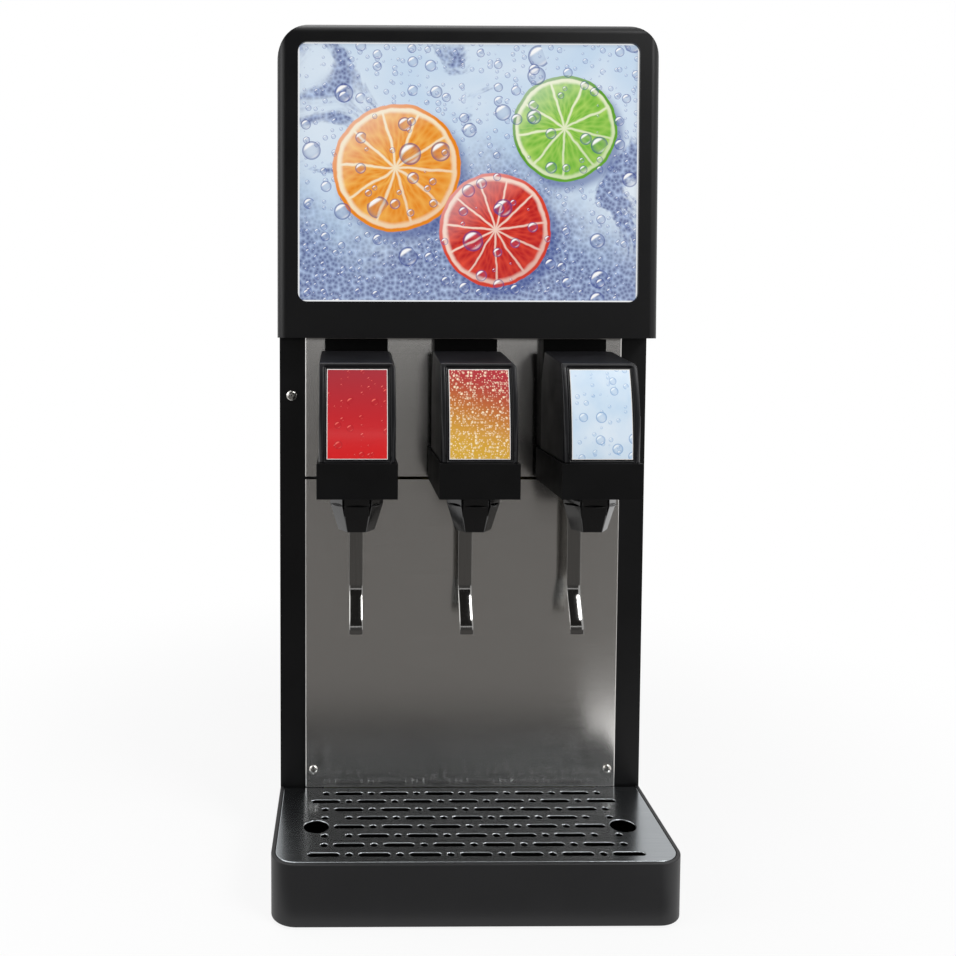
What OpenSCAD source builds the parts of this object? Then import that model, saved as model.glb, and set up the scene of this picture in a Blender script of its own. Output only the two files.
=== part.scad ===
// Countertop post-mix soda dispenser: a folded steel cabinet with an ice-bank cooler inside,
// a lit head on top, three lever taps on a steel front and a drip base with a perforated cover.
// Millimetres. The origin is on the table under the middle of the whole object, +Z is up,
// and the taps face -Y.

/* [Cabinet] */
// Width of the cabinet, the head and the drip base
cab_w = 310; // [304:1:330]
// Depth of the cabinet behind its front plane
cab_d = 378; // [370:1:420]
// Height from the table to the underside of the head
tower_h = 437; // [434:1:450]
// Thickness of the folded sheet
sheet = 1.2; // [0.8:0.1:1.6]
// Width of the black columns beside the steel panels
column_w = 21.5; // [20:0.5:28]
// Width of the seat that the columns keep behind the steel panels' edges
seat_w = 16; // [14:1:20]
// Width of the folded flanges at the rear, the top and the bottom
flange_w = 15; // [12:1:18]
// Height of the rubber feet
foot_h = 2; // [1:0.5:4]
// Radius of the rubber feet
foot_r = 13; // [8:1:16]
// Distance from the feet's centres to the outer faces
foot_inset = 28; // [22:1:40]

/* [Head] */
// Height of the head
head_h = 253; // [250:1:280]
// Wall of the head shell
head_wall = 3; // [2:0.5:4]
// Radius of the head's two top corners
head_corner_r = 30; // [18:1:32]
// Radius along the front edges of the head
head_edge_r = 8; // [5:0.5:12]
// How far the head stands out in front of the cabinet at its top
head_out_top = 26; // [24:1:30]
// How far the head stands out in front of the cabinet at its bottom
head_out_bottom = 33; // [31:1:38]
// Width of the border beside the window in the head
window_side = 17; // [14:0.5:24]
// Height of the border over the window
window_over = 15; // [14:0.5:24]
// Height of the border under the window
window_sill = 29.5; // [24:0.5:34]
// Radius of the window's corners
window_r = 7.5; // [4:0.5:12]
// Thickness of the printed window panel
print_t = 3; // [2:0.5:4]
// How far the printed panel laps behind the window's edge
print_lap = 5; // [3:0.5:6]
// Depth of the light box behind the printed panel
lightbox_d = 40; // [30:1:46]
// Wall of the light box
lightbox_wall = 1.5; // [1:0.5:2.5]
// Thickness of the LED boards
led_t = 1.6; // [1:0.2:2.4]
// Height of one LED board
led_h = 14; // [10:1:18]
// Number of LED boards
led_rows = 5; // [3:1:6]
// Distance from the window's sides to the ends of the LED boards
led_inset = 10; // [6:1:20]

/* [Steel panels] */
// Thickness of the steel panels
panel_t = 1; // [0.6:0.1:1.5]
// How far the steel panels stand proud of the columns
panel_proud = 3; // [2:0.5:5]
// Outer bend radius along the panels' upright edges
panel_bend = 1.2; // [0.6:0.1:1.5]
// Distance from the taps' underside down to the lower panel's top edge
split_down = 2; // [1:1:30]
// Gap between the two panels
split_gap = 2.5; // [0.8:0.1:3]

/* [Drip base] */
// How far the drip base stands out in front of the cabinet
tray_out = 127; // [124:1:150]
// Height of the drip base's rim above the table
base_top = 49.5; // [44:0.5:56]
// Radius of the drip base's front corners
base_r = 20; // [16:1:30]
// Width of the rim round the perforated cover
rim_w = 3; // [2:0.5:4]
// Width of the ledge that carries the drip pan
ledge_w = 5; // [4:0.5:8]
// Radius of the front corners of the drip pan's well
well_r = 6; // [5.5:0.5:8]
// Thickness of the drip base's floor
base_floor = 2.5; // [1.5:0.5:4]
// Thickness of the drip pan's sheet
pan_t = 1; // [0.6:0.1:1.5]
// Thickness of the perforated cover
plate_t = 1.5; // [1:0.1:2.5]
// How far the cover stands above the rim
plate_proud = 0.4; // [0.1:0.1:1]
// Length of a drain slot
slot_len = 24; // [16:1:28]
// Width of a drain slot and diameter of a drain hole
slot_w = 5.5; // [4.5:0.5:7]
// Distance from the cabinet's side to the last drain hole
drain_hole_in = 39.8; // [37:0.1:44]
// Distance between the rows of slots
row_pitch = 14.1; // [12:0.1:14.5]
// Radius of the two finger holes
finger_r = 10; // [8:0.5:11]
// Distance from the cabinet's side to a finger hole
finger_in = 33; // [28:1:36]
// Outer radius of the drain tube
drain_r = 7; // [5:0.5:8]
// Bore radius of the drain tube
drain_bore_r = 5; // [3:0.5:6]
// Outer radius of the drain tube's spigot behind the cabinet
drain_spigot_r = 8; // [7.5:0.5:10]
// Height of the drain tube's centre above the table
drain_z = 15; // [13:0.5:18]
// Distance from the cabinet's side to the drain tube
drain_in = 55; // [48:1:70]

/* [Taps] */
// Distance from the cabinet's side to the outer taps
tap_side = 34.5; // [30:0.5:40]
// Distance from the head's underside down to the taps' underside
tap_down = 118; // [114:1:120]
// Width of the lower tap body
tap_w = 60; // [58:1:66]
// How far the taps stand out in front of the cabinet
tap_out = 114; // [110:1:120]
// Height of the lower tap body
band_h = 26.5; // [24:0.5:32]
// Wall of the tap body
tap_wall = 3; // [2:0.5:4]
// Floor of the tap body
tap_floor = 4; // [3:0.5:6]
// Width of the block at the back of each tap
block_w = 52; // [46:1:56]
// Thickness of the block at the back of each tap
block_t = 14; // [12:0.5:15]
// Step between the body's front and the cover's front
cover_step = 1.5; // [1:0.5:2.5]
// Wall of the tap cover
cover_wall = 2.5; // [2:0.5:3]
// Height of the tap cover
cover_h = 72; // [66:1:74]
// How far the cover's top rises towards its rear
cover_rise = 9; // [4:1:12]
// Radius of the cover's bowed front
cover_bow_r = 185; // [160:5:220]
// Radius of the cover's front corners
cover_r = 4; // [3:0.5:5]
// Clearance between the tap cover and the block behind it
cover_back_gap = 5; // [3:0.5:8]
// Run of the slope at the cover's upper rear edge
cover_slope = 12; // [6:1:16]
// Width of the tap label
label_w = 45; // [40:1:46]
// Height of the tap label
label_h = 66; // [58:1:66]
// Thickness of the tap label
label_t = 0.8; // [0.5:0.1:1]
// Depth of the recess that holds the label
label_recess = 1.2; // [1.1:0.1:1.5]
// Width of the bare strip round the label in its recess
label_border = 2; // [1:0.1:2.5]

/* [Nozzles] */
// Distance from the cabinet's front plane to the nozzles' axes
nozzle_out = 74; // [72:1:78]
// Radius of a nozzle's grip
nozzle_r = 20.5; // [19:0.5:22]
// Distance from a nozzle's axis to the flats of its grip
nozzle_flat_r = 18.4; // [17.5:0.1:19]
// Outer radius at a nozzle's tip
nozzle_tip_r = 14; // [11:0.5:15]
// Distance from a nozzle's axis to the flats at its tip
nozzle_tip_flat_r = 12.4; // [10.5:0.1:13]
// Length of a nozzle below the tap
nozzle_len = 30; // [26:1:36]
// Length of the straight part of the grip
nozzle_straight = 9; // [7:1:12]
// Radius of the spigot that turns in the tap's socket
spigot_r = 15; // [13:0.5:16]
// Length of that spigot
spigot_len = 9; // [7:0.5:10]
// Bore radius at a nozzle's tip
nozzle_bore_r = 7; // [5:0.5:9]
// Bore radius at the top of a nozzle
nozzle_throat_r = 11.5; // [9:0.5:12.5]
// Length of the smooth collar above the grooves
nozzle_collar = 2; // [1:0.5:4]
// Width of the grooves between the flats
groove_w = 1.8; // [1:0.1:2.5]
// Depth of those grooves
groove_d = 2; // [1:0.1:3]

/* [Levers] */
// Distance from the cabinet's front plane to the levers
lever_out = 24; // [23.5:0.5:26]
// Width of a lever's strip
lever_w = 11.2; // [9:0.1:12]
// Thickness of a lever's strip
lever_t = 2; // [1.5:0.1:2.2]
// Length of a lever from the tap's underside down to its bend
lever_len = 91.5; // [80:0.5:110]
// How far the paddle leans forward
paddle_out = 15; // [12:1:28]
// Height of the paddle
paddle_h = 25.5; // [20:0.5:30]
// Height of the upright tip under the paddle
lever_tip_h = 7; // [4:1:10]
// Height of a lever's pin above the tap's underside
pivot_up = 14; // [13:0.5:15]
// Radius of a lever's pin
pin_r = 2; // [1.5:0.1:2.5]
// Radius of a lever's hub
hub_r = 4.5; // [4:0.1:5]
// Length of the arm above the pin
arm_up = 12.5; // [12:0.5:13]
// Height of the switch button above the pin
button_up = 10; // [9:0.5:10.5]
// Radius of the switch button
button_r = 1.4; // [1:0.1:1.8]
// Length of the switch button
button_len = 8; // [7:0.5:9]
// Travel of the switch button
button_travel = 1.3; // [1.2:0.1:2]
// Thickness of the ears that hold a lever's pin
ear_t = 4; // [3:0.5:5]
// Room for the return spring between the hub and an ear
spring_room = 3; // [2.5:0.1:4]
// Width of the switch
switch_w = 16; // [12:1:18]
// Depth of the switch
switch_d = 12; // [11:0.5:13]
// Height of the switch
switch_h = 9; // [8:0.5:10]
// Radius of the two solenoids in each tap
solenoid_r = 11; // [9:0.5:12]
// Height of the solenoids
solenoid_h = 42; // [34:1:46]

/* [Screws] */
// Radius of the column screws' heads
column_screw_r = 4.2; // [3.5:0.1:5]
// Distance from the head's underside down to the column screws
column_screw_down = 49; // [34:1:70]
// Distance from the cabinet's side to the column screws
column_screw_in = 10; // [9:0.5:14]
// Radius of the panel screws' heads
panel_screw_r = 3.7; // [3:0.1:4.5]
// Height of the panel screws above the table
panel_screw_z = 66; // [62:1:80]
// Distance from the panel's edge to the panel screws
panel_screw_in = 7; // [6:0.5:9]
// Radius of the screws' shanks
shank_r = 2; // [1.5:0.1:2.2]
// Height of the screws' heads
head_t = 2.4; // [1.8:0.1:3]
// Length of the screws behind the sheet
shank_len = 7; // [5:0.5:9]
// Distance from the rear panel's ends to its outer screws
rear_screw_in = 20; // [15:1:40]
// Radius of the tap screws' heads
tap_screw_r = 3; // [2.5:0.1:3.5]
// Height of the lower tap screw above the tap's underside
tap_screw_low = 40; // [36:1:44]
// Height of the upper tap screw above the tap's underside
tap_screw_high = 78; // [70:1:82]

/* [Cooler] */
// Gap between the front panels and the insulation
bath_front_gap = 26; // [24:1:30]
// Gap between the insulation and the rear panel
bath_rear_gap = 60; // [50:1:66]
// Gap between the insulation and the side panels
bath_side_gap = 5; // [4:0.5:8]
// Thickness of the insulation
insul_t = 24; // [22:1:28]
// Gap between the insulation and the machine deck
bath_top_gap = 37; // [34:1:50]
// Sheet of the water bath
bath_t = 1; // [0.6:0.1:1.5]
// Thickness of the machine deck over the water bath
deck_t = 2; // [1.5:0.1:3]
// Outer radius of the evaporator coil
coil_r = 106; // [98:1:108]
// Diameter of the evaporator's tube
coil_tube = 10; // [8:0.5:12]
// Turns of the evaporator
coil_turns = 16; // [10:1:20]
// Height of the evaporator's lowest turn above the bath's floor
coil_lift = 90; // [60:1:110]
// Outer radius of the refrigerant pipes
pipe_r = 4; // [3:0.5:5]
// Radius of the carbonator
carb_r = 44; // [36:1:46]
// Height of the carbonator
carb_h = 250; // [200:1:290]
// Distance of the carbonator from the middle of the coil
carb_x = 42; // [40:1:45]
// Distance of the agitator from the middle of the coil
agit_x = 56; // [54:1:60]
// Radius of the agitator's blades
agit_r = 26; // [20:1:28]
// Radius of the agitator's shaft
agit_shaft_r = 3; // [2.5:0.1:4]
// Height of the agitator's blades above the bath's floor
agit_lift = 70; // [50:1:90]
// Radius of the agitator's motor
agit_motor_r = 27; // [22:1:30]
// Height of the agitator's motor
agit_motor_h = 58; // [45:1:70]
// Height of the agitator's hub
agit_hub_h = 16; // [12:1:20]
// Height of an agitator blade
agit_blade_h = 12; // [8:1:14]
// Thickness of an agitator blade
agit_blade_t = 2; // [1:0.5:3]
// Pitch of the agitator's blades
agit_pitch = 35; // [25:1:45]

/* [Refrigeration] */
// Radius of the compressor's shell
comp_r = 56; // [50:1:60]
// Height of the compressor's straight shell
comp_h = 112; // [90:1:125]
// Radius of the compressor's domed top
comp_dome_r = 100; // [90:1:120]
// Thickness of the compressor's mounting plate
comp_foot_t = 4; // [3:0.5:6]
// Depth of the compressor's mounting plate
comp_foot_d = 90; // [80:1:100]
// Distance from the cabinet's side to the condenser
cond_side = 37; // [32:1:44]
// Height of the condenser
cond_h = 200; // [190:1:215]
// Thickness of the condenser
cond_t = 40; // [32:1:44]
// Gap between the condenser and the head's rear wall
cond_gap = 6; // [4:0.5:10]
// Thickness of the fan shroud
shroud_t = 3; // [2:0.5:4]
// Radius of the condenser fan
fan_r = 84; // [78:1:86]
// Running gap round the fan
fan_gap = 5; // [4:0.5:7]
// Depth of the fan's hub
fan_d = 16; // [12:1:18]
// Radius of the fan's hub
fan_hub_r = 20; // [16:1:24]
// Number of fan blades
fan_blades = 5; // [3:1:7]
// Pitch of the fan blades
fan_pitch = 28; // [20:1:32]
// Width of a fan blade
fan_blade_w = 22; // [16:1:26]
// Thickness of a fan blade
fan_blade_t = 2; // [1:0.5:3]
// Radius of the fan's shaft
fan_shaft_r = 4; // [3:0.5:5]
// Radius of the fan's motor
fan_motor_r = 30; // [26:1:34]
// Length of the fan's motor
fan_motor_l = 34; // [28:1:38]
// Radius of the pump's motor
pump_r = 36; // [30:1:40]
// Length of the pump's motor
pump_l = 84; // [70:1:90]
// Radius of the pump's head
pump_head_r = 24; // [20:1:28]
// Length of the pump's head
pump_head_l = 34; // [26:1:40]
// Distance of the pump's rear end from the middle
pump_x = 16; // [12:1:20]
// Length of the pump's foot
pump_foot_l = 64; // [50:1:68]
// Depth of the pump's foot
pump_foot_d = 50; // [40:1:56]
// Width of the control box
control_w = 112; // [90:1:120]
// Depth of the control box
control_d = 62; // [50:1:66]
// Height of the control box
control_h = 96; // [70:1:120]

/* [Connections] */
// Outer radius of the inlet spigots
inlet_r = 4.7625; // [4:0.0125:6]
// How far the inlet spigots stand out behind the cabinet
inlet_out = 15; // [12:0.5:20]
// Distance between neighbouring inlets
inlet_pitch = 38; // [30:1:40]
// Distance from the cabinet's side to the first inlet
inlet_in = 52; // [46:1:54]
// Number of inlets
inlets = 5; // [3:1:5]
// Wall of the inlet spigots
inlet_wall = 1.5; // [1:0.1:2]
// Height of the inlets above the table
inlet_z = 62; // [50:1:80]
// Width across the flats of the inlet nuts
nut_w = 19; // [16:1:22]
// Thickness of the inlet nuts
nut_t = 6; // [4:0.5:8]
// Outer radius of the drink lines
line_r = 4; // [3:0.5:4.5]
// Distance from a tap's middle to its two drink lines
line_x = 12; // [10:0.5:14]
// Distance from the head's underside down to the drink lines
line_down = 21; // [18:1:23]
// Height of the drink lines' lower ends above the bath's floor
line_end = 60; // [40:1:120]
// Distance from the cabinet's side to the power inlet and switch
power_in = 43; // [38:1:46]
// Height of the power inlet's centre above the table
power_z = 62; // [50:1:80]
// Width of the power inlet
power_w = 28; // [26:0.5:30]
// Height of the power inlet
power_h = 20; // [18:0.5:24]
// Depth of the power inlet behind the rear panel
power_d = 22; // [20:1:26]
// Height of the power switch's centre above the table
rocker_z = 104; // [98:1:120]
// Width of the rocker
rocker_w = 14; // [10:0.5:18]
// Height of the rocker
rocker_h = 22; // [18:0.5:26]
// Tilt of the rocker to either side
rocker_tilt = 9; // [6:1:12]
// Depth of the power switch behind the rear panel
rocker_d = 16; // [14:1:20]
// Width of a ventilation slot
vent_w = 92; // [70:1:100]
// Height of a ventilation slot
vent_h = 5; // [4:0.5:6]
// Distance between ventilation slots
vent_pitch = 14; // [11:0.5:16]
// Width of the bar between the two columns of slots
vent_bar = 16; // [12:1:24]
// Rows of ventilation slots in the head
vent_rows = 11; // [6:1:13]
// Height of the head's lowest slots above the cabinet's top
vent_up = 40; // [30:1:46]
// Rows of ventilation slots in the rear panel
rear_vent_rows = 6; // [3:1:8]
// Distance from the cabinet's top down to the rear panel's lowest slots
rear_vent_down = 120; // [110:1:130]

/* [Hidden] */
$fn = 64;
// Clearance where two fixed pieces sit side by side
fit = 0.3;
// Radial clearance of a shaft or pin that turns in its bore
run = 0.05;
// Extra depth that lets a cut pass through a face
cut = 1;
// Top of a screw's head, and length and width of its cross, as parts of the head's radius
screw_top = 0.72;
cross_l = 0.9;
cross_w = 0.22;
// Elbow of a pipe, as a part of the pipe's radius
elbow = 1.2;
// Wall, gap, floor, flange, pin and pivot depth of the power switch
rocker_wall = 2.5;
rocker_gap = 0.8;
rocker_floor = 2;
rocker_flange = 2;
rocker_flange_t = 1.5;
rocker_pin_r = 1.4;
rocker_in = 2;
// Flange, wall and floor of the power inlet, and its three blades
power_flange = 4;
power_flange_t = 2;
power_wall = 2;
power_floor = 4;
POWER_BLADES = [[-7, -2], [0, 2], [7, -2]];
power_blade = [2, 14, 5];
total_d = tray_out + cab_d + inlet_out;
y_front = -total_d / 2;
y_tower = y_front + tray_out;
y_rear = y_tower + cab_d;
half_w = cab_w / 2;
in_w = half_w - sheet;
// Places of the three taps, from left to right
tap_pitch = half_w - tap_w / 2 - tap_side;
TAP_X = [-tap_pitch, 0, tap_pitch];
tap_z = tower_h - tap_down;
split_z = tap_z - split_down;
column_screw_z = tower_h - column_screw_down;
window_w = cab_w - 2 * window_side;
window_h = head_h - window_sill - window_over;
drain_x = half_w - drain_in;
power_x = half_w - power_in;
floor_z = foot_h + sheet;
top_z = tower_h + head_h;
seat_x = half_w - column_w - seat_w;
panel_x = half_w - column_w;
y_panel = y_tower - panel_proud;
head_lean = atan((head_out_bottom - head_out_top) / head_h);
// Drip base: the pan's flange lies on the ledge and the cover on the flange
ledge_z = base_top + plate_proud - plate_t - pan_t;
well_d = tray_out - rim_w - ledge_w - rim_w;
pan_floor_z = foot_h + base_floor + fit;
plate_d = tray_out - rim_w - panel_proud - 2 * fit;
plate_mid_y = y_front + rim_w + fit + plate_d / 2;
// Drain holes: rows, holes to either side of the middle one, and the row of the finger holes
drain_rows = 8;
drain_count = 6;
finger_row = drain_rows / 2;
finger_x = half_w - finger_in;
hole_pitch = (half_w - drain_hole_in) / drain_count;
// Taps, seen from the cabinet's front plane
band_top = tap_z + band_h;
cover_top = band_top + cover_h;
block_y = -(panel_proud + block_t);
cover_w = tap_w - 2 * cover_step;
cover_front = -(tap_out - cover_step);
cover_back = block_y - cover_back_gap;
cover_bow_y = cover_front + cover_bow_r;
cover_bow_z = band_top + cover_step;
rise_angle = atan(cover_rise / (cover_back - cover_slope - cover_front));
label_z = band_top + (cover_h - label_h) / 2;
pivot_z = tap_z + pivot_up;
lever_bend_z = tap_z - lever_len;
line_z = tower_h - line_down;
arm_face = -(lever_out + lever_t / 2);
ear_x = lever_w / 2 + spring_room;
lean_angle = atan(paddle_out / paddle_h);
// Gaps inside a tap: beside the lever, before the switch, under the shelf, round the solenoids
lever_gap = 1;
switch_gap = 5;
shelf_gap = 4;
solenoid_gap = 4;
solenoid_split = 3;
// Film of glue under a label
glue = 0.1;
socket_wall = 4;
shelf_t = 3;
switch_y = arm_face - switch_gap;
switch_z = pivot_z + button_up - switch_h / 2 - lever_gap;
shelf_z = pivot_z + arm_up + shelf_gap;
solenoid_y = block_y - cover_back_gap - solenoid_r - solenoid_gap;
solenoid_x = solenoid_r + solenoid_split / 2;
// Cooler
bath_top = tower_h - bath_top_gap;
cond_w = cab_w - 2 * cond_side;
bath_y0 = y_tower + bath_front_gap;
bath_y1 = y_rear - bath_rear_gap;
bath_y = (bath_y0 + bath_y1) / 2;
bath_w = 2 * (in_w - bath_side_gap);
bath_z = floor_z + sheet;
tank_w = bath_w - 2 * insul_t;
tank_y0 = bath_y0 + insul_t;
tank_y1 = bath_y1 - insul_t;
tank_floor = bath_z + insul_t + bath_t;
deck_z = tower_h + deck_t;
// Outline of one turn of the coil, as parts of its diameter and its pitch; the turns touch
TURN = [[-0.25, 1], [0, 0.75], [0, 0.25], [-0.25, 0]];
turn_lap = 0.96;
coil_pitch = coil_tube * turn_lap;
riser_r = coil_r - coil_tube / 2;
// Place of the suction pipe on the coil, and heights of the pipes above the deck
suction_angle = 205;
riser_up = 12;
suction_up = 55;
RISERS = [[riser_r, bath_y], [riser_r * cos(suction_angle), bath_y + riser_r * sin(suction_angle)]];
riser_top = deck_z + riser_up;
suction_z = deck_z + suction_up;
hot_up = 12;
cold_up = 24;
pipe_side = 13;
pipe_x = cond_w / 2 + pipe_side;
coil_z = tank_floor + coil_lift;
coil_top = coil_z + coil_turns * coil_pitch;
// Carbonator: its shoulder, and the three pipes on it
carb_shoulder_h = 14;
carb_shoulder = 0.6;
carb_pipe_r = 5;
carb_pipe_h = 34;
carb_pipe_at = 0.35;
// Agitator: hub, as a part of the shaft's radius, and the gap in the deck
agit_hub = 2.5;
agit_gap = 2;
// Machine deck: gaps between the machines
fan_room = 4;
comp_side = 16;
comp_gap = 14;
pump_gap = 10;
pump_lift = 6;
control_side = 12;
control_gap = 8;
// Arms of the fan motor, depth of its shaft's bore, and how deep the blades sit in the hub
arm_w = 8;
arm_t = 4;
arm_back = 12;
arm_gap = 3;
bore_part = 0.7;
blade_root = 4;
cond_y = y_rear - head_wall - cond_gap - cond_t;
fan_z = deck_z + cond_h / 2;
fan_y = cond_y - shroud_t - fan_d - fan_room;
motor_y = fan_y - fan_room;
comp_x = -(comp_r + comp_side);
comp_y = motor_y - fan_motor_l - comp_r - comp_gap;
comp_top = deck_z + comp_foot_t + comp_h + comp_dome_r - sqrt(pow(comp_dome_r, 2) - pow(comp_r, 2));
light_back_y = y_tower - head_out_top + head_wall + print_t + lightbox_d;
pump_y = light_back_y + pump_r + pump_gap;
pump_z = deck_z + pump_r + pump_lift;
// Gap between the drink lines and the bath's walls
line_gap = 2;
line_drop = bath_front_gap + insul_t + bath_t + line_r + line_gap;
// Fins of the condenser
fins = 22;
fin_gap = 3;
fin_margin = 8;
fin_d = cond_t / 3;

// A rectangle with four rounded corners, centred
module round_rect(w, h, r) {
    square([w - 2 * r, h], center = true);
    square([w, h - 2 * r], center = true);
    for (sx = [-1, 1], sy = [-1, 1]) translate([sx * (w / 2 - r), sy * (h / 2 - r)]) circle(r = r);
}

// A rectangle from y = 0 backwards whose two front corners are rounded
module front_round(w, d, r) {
    translate([-w / 2, r]) square([w, d - r]);
    translate([-w / 2 + r, 0]) square([w - 2 * r, d]);
    for (s = [-1, 1]) translate([s * (w / 2 - r), r]) circle(r = r);
}

// A long hole with round ends, centred
module slot_shape(l, w) {
    square([l - w, w], center = true);
    for (s = [-1, 1]) translate([s * (l - w) / 2, 0]) circle(d = w);
}

// Two columns of ventilation slots, from height z upwards
module vent_slots(z, n) {
    for (s = [-1, 1], k = [0 : n - 1])
        translate([s * (vent_w + vent_bar) / 2, z + k * vent_pitch]) slot_shape(vent_w, vent_h);
}

// Draws a (y, z) outline and extrudes it evenly to both sides along X
module along_x(w) {
    rotate([90, 0, 90]) linear_extrude(w, center = true) children();
}

// Draws an (x, z) outline and extrudes it backwards from y
module along_y(y, d) {
    translate([0, y + d, 0]) rotate([90, 0, 0]) linear_extrude(d) children();
}

// A pan-head screw that points backwards: the head's seat is at y = 0
module pan_screw(r, l) {
    rotate([-90, 0, 0]) cylinder(r = shank_r, h = l);
    difference() {
        rotate([90, 0, 0]) cylinder(r1 = r, r2 = r * screw_top, h = head_t);
        for (a = [0, 90]) rotate([0, a, 0]) translate([-r * cross_l / 2, -head_t - cut, -r * cross_w / 2])
            cube([r * cross_l, cut + head_t / 2, r * cross_w]);
    }
}

// A round hole along Y
module hole_y(x, y, z, r, d) {
    translate([x, y, z]) rotate([-90, 0, 0]) cylinder(r = r, h = d);
}

// A pipe with square turns, each turn in its elbow
module pipe(points, r) {
    for (i = [0 : len(points) - 2]) {
        d = points[i + 1] - points[i];
        l = norm(d);
        translate(points[i]) rotate([0, acos(d[2] / l), atan2(d[1], d[0])]) cylinder(r = r, h = l);
    }
    for (i = [1 : len(points) - 2]) translate(points[i]) sphere(r = r * elbow);
}

module at_tap(i) {
    translate([TAP_X[i], y_tower, 0]) children();
}

module base_plate() {
    color("dimgray")
    translate([-in_w, y_tower + sheet, foot_h]) cube([2 * in_w, cab_d - 3 * sheet, sheet]);
}

module feet() {
    color("#202020")
    for (s = [-1, 1], y = [y_front + foot_inset, y_rear - foot_inset])
        translate([s * (half_w - foot_inset), y, 0]) cylinder(r = foot_r, h = foot_h);
}

// One side of the cabinet: wall, front column with its seat, and flanges, folded from one sheet
module side_panel(side) {
    color("#181818")
    mirror([side < 0 ? 1 : 0, 0, 0])
    difference() {
        union() {
            translate([in_w, y_tower, foot_h]) cube([sheet, cab_d, tower_h - foot_h]);
            translate([seat_x, y_tower, foot_h]) cube([half_w - seat_x, sheet, tower_h - foot_h]);
            translate([half_w - flange_w, y_rear - 2 * sheet, foot_h])
                cube([flange_w, sheet, tower_h - foot_h]);
            for (z = [floor_z, tower_h - sheet])
                translate([half_w - flange_w, y_tower, z]) cube([flange_w, cab_d - sheet, sheet]);
        }
        hole_y(half_w - column_screw_in, y_tower - cut, column_screw_z, shank_r + run, sheet + 2 * cut);
        hole_y(panel_x - panel_screw_in, y_tower - cut, panel_screw_z, shank_r + run, sheet + 2 * cut);
        for (z = rear_screw_z())
            hole_y(rear_screw_x(), y_rear - 2 * sheet - cut, z, shank_r + run, sheet + 2 * cut);
    }
}

function rear_screw_x() = half_w - flange_w / 2 - sheet;
function rear_screw_z() = [for (k = [0 : 2])
    foot_h + rear_screw_in + k * (tower_h - foot_h - 2 * rear_screw_in) / 2];
function inlet_x(k) = -half_w + inlet_in + k * inlet_pitch;

// Rear cover sheet with holes for the connections and rows of ventilation slots
module rear_panel() {
    color("#1c1c1c")
    difference() {
        translate([-in_w + fit, y_rear - sheet, foot_h])
            cube([2 * (in_w - fit), sheet, tower_h - foot_h - fit]);
        for (s = [-1, 1], z = rear_screw_z())
            hole_y(s * rear_screw_x(), y_rear - sheet - cut, z, shank_r + run, sheet + 2 * cut);
        for (k = [0 : inlets - 1])
            hole_y(inlet_x(k), y_rear - sheet - cut, inlet_z, inlet_r + fit, sheet + 2 * cut);
        hole_y(-drain_x, y_rear - sheet - cut, drain_z, drain_r + fit, sheet + 2 * cut);
        for (z = [power_z, rocker_z]) translate([power_x, y_rear - sheet - cut, z])
            translate([-rear_cut_w(z) / 2, 0, -rear_cut_h(z) / 2])
                cube([rear_cut_w(z), sheet + 2 * cut, rear_cut_h(z)]);
        along_y(y_rear - sheet - cut, sheet + 2 * cut)
            vent_slots(tower_h - rear_vent_down, rear_vent_rows);
    }
}

function rear_cut_w(z) = z == power_z ? power_w : rocker_w + 2 * rocker_wall;
function rear_cut_h(z) = z == power_z ? power_h : rocker_h + 2 * rocker_wall;

module rear_screws() {
    color("silver")
    for (s = [-1, 1], z = rear_screw_z())
        translate([s * rear_screw_x(), y_rear, z]) rotate([0, 0, 180]) pan_screw(panel_screw_r, shank_len);
}

// A steel front sheet whose upright edges are folded back onto the columns' seats
module panel_sheet(z0, z1) {
    bend = min(panel_bend, panel_proud / 2);
    translate([0, y_panel, z0]) linear_extrude(z1 - z0) difference() {
        front_round(2 * panel_x, panel_proud, bend);
        translate([-panel_x + panel_t, panel_t]) square([2 * (panel_x - panel_t), panel_proud]);
    }
}

module lower_panel() {
    color("gray")
    difference() {
        panel_sheet(base_top + plate_proud + fit, split_z);
        for (s = [-1, 1]) hole_y(s * (panel_x - panel_screw_in), y_panel - cut, panel_screw_z,
            shank_r + run, panel_t + 2 * cut);
    }
}

function tap_screw_z() = [tap_z + tap_screw_low, tap_z + tap_screw_high];

module upper_panel() {
    color("gray")
    difference() {
        panel_sheet(split_z + split_gap, tower_h - fit);
        for (x = TAP_X) {
            for (s = [-1, 1])
                hole_y(x + s * line_x, y_panel - cut, line_z, line_r + fit, panel_t + 2 * cut);
            for (z = tap_screw_z()) hole_y(x, y_panel - cut, z, shank_r + run, panel_t + 2 * cut);
        }
    }
}

module panel_screws() {
    color("silver")
    for (s = [-1, 1]) translate([s * (panel_x - panel_screw_in), y_panel, panel_screw_z])
        pan_screw(panel_screw_r, shank_len + panel_proud);
}

module column_screws() {
    color("silver")
    for (s = [-1, 1]) translate([s * (half_w - column_screw_in), y_tower, column_screw_z])
        pan_screw(column_screw_r, shank_len);
}

// Moves to the head's front: x across, y backwards from the leaning face, z up along it
module head_face() {
    translate([0, y_tower - head_out_bottom, tower_h]) rotate([-head_lean, 0, 0]) children();
}

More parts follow.
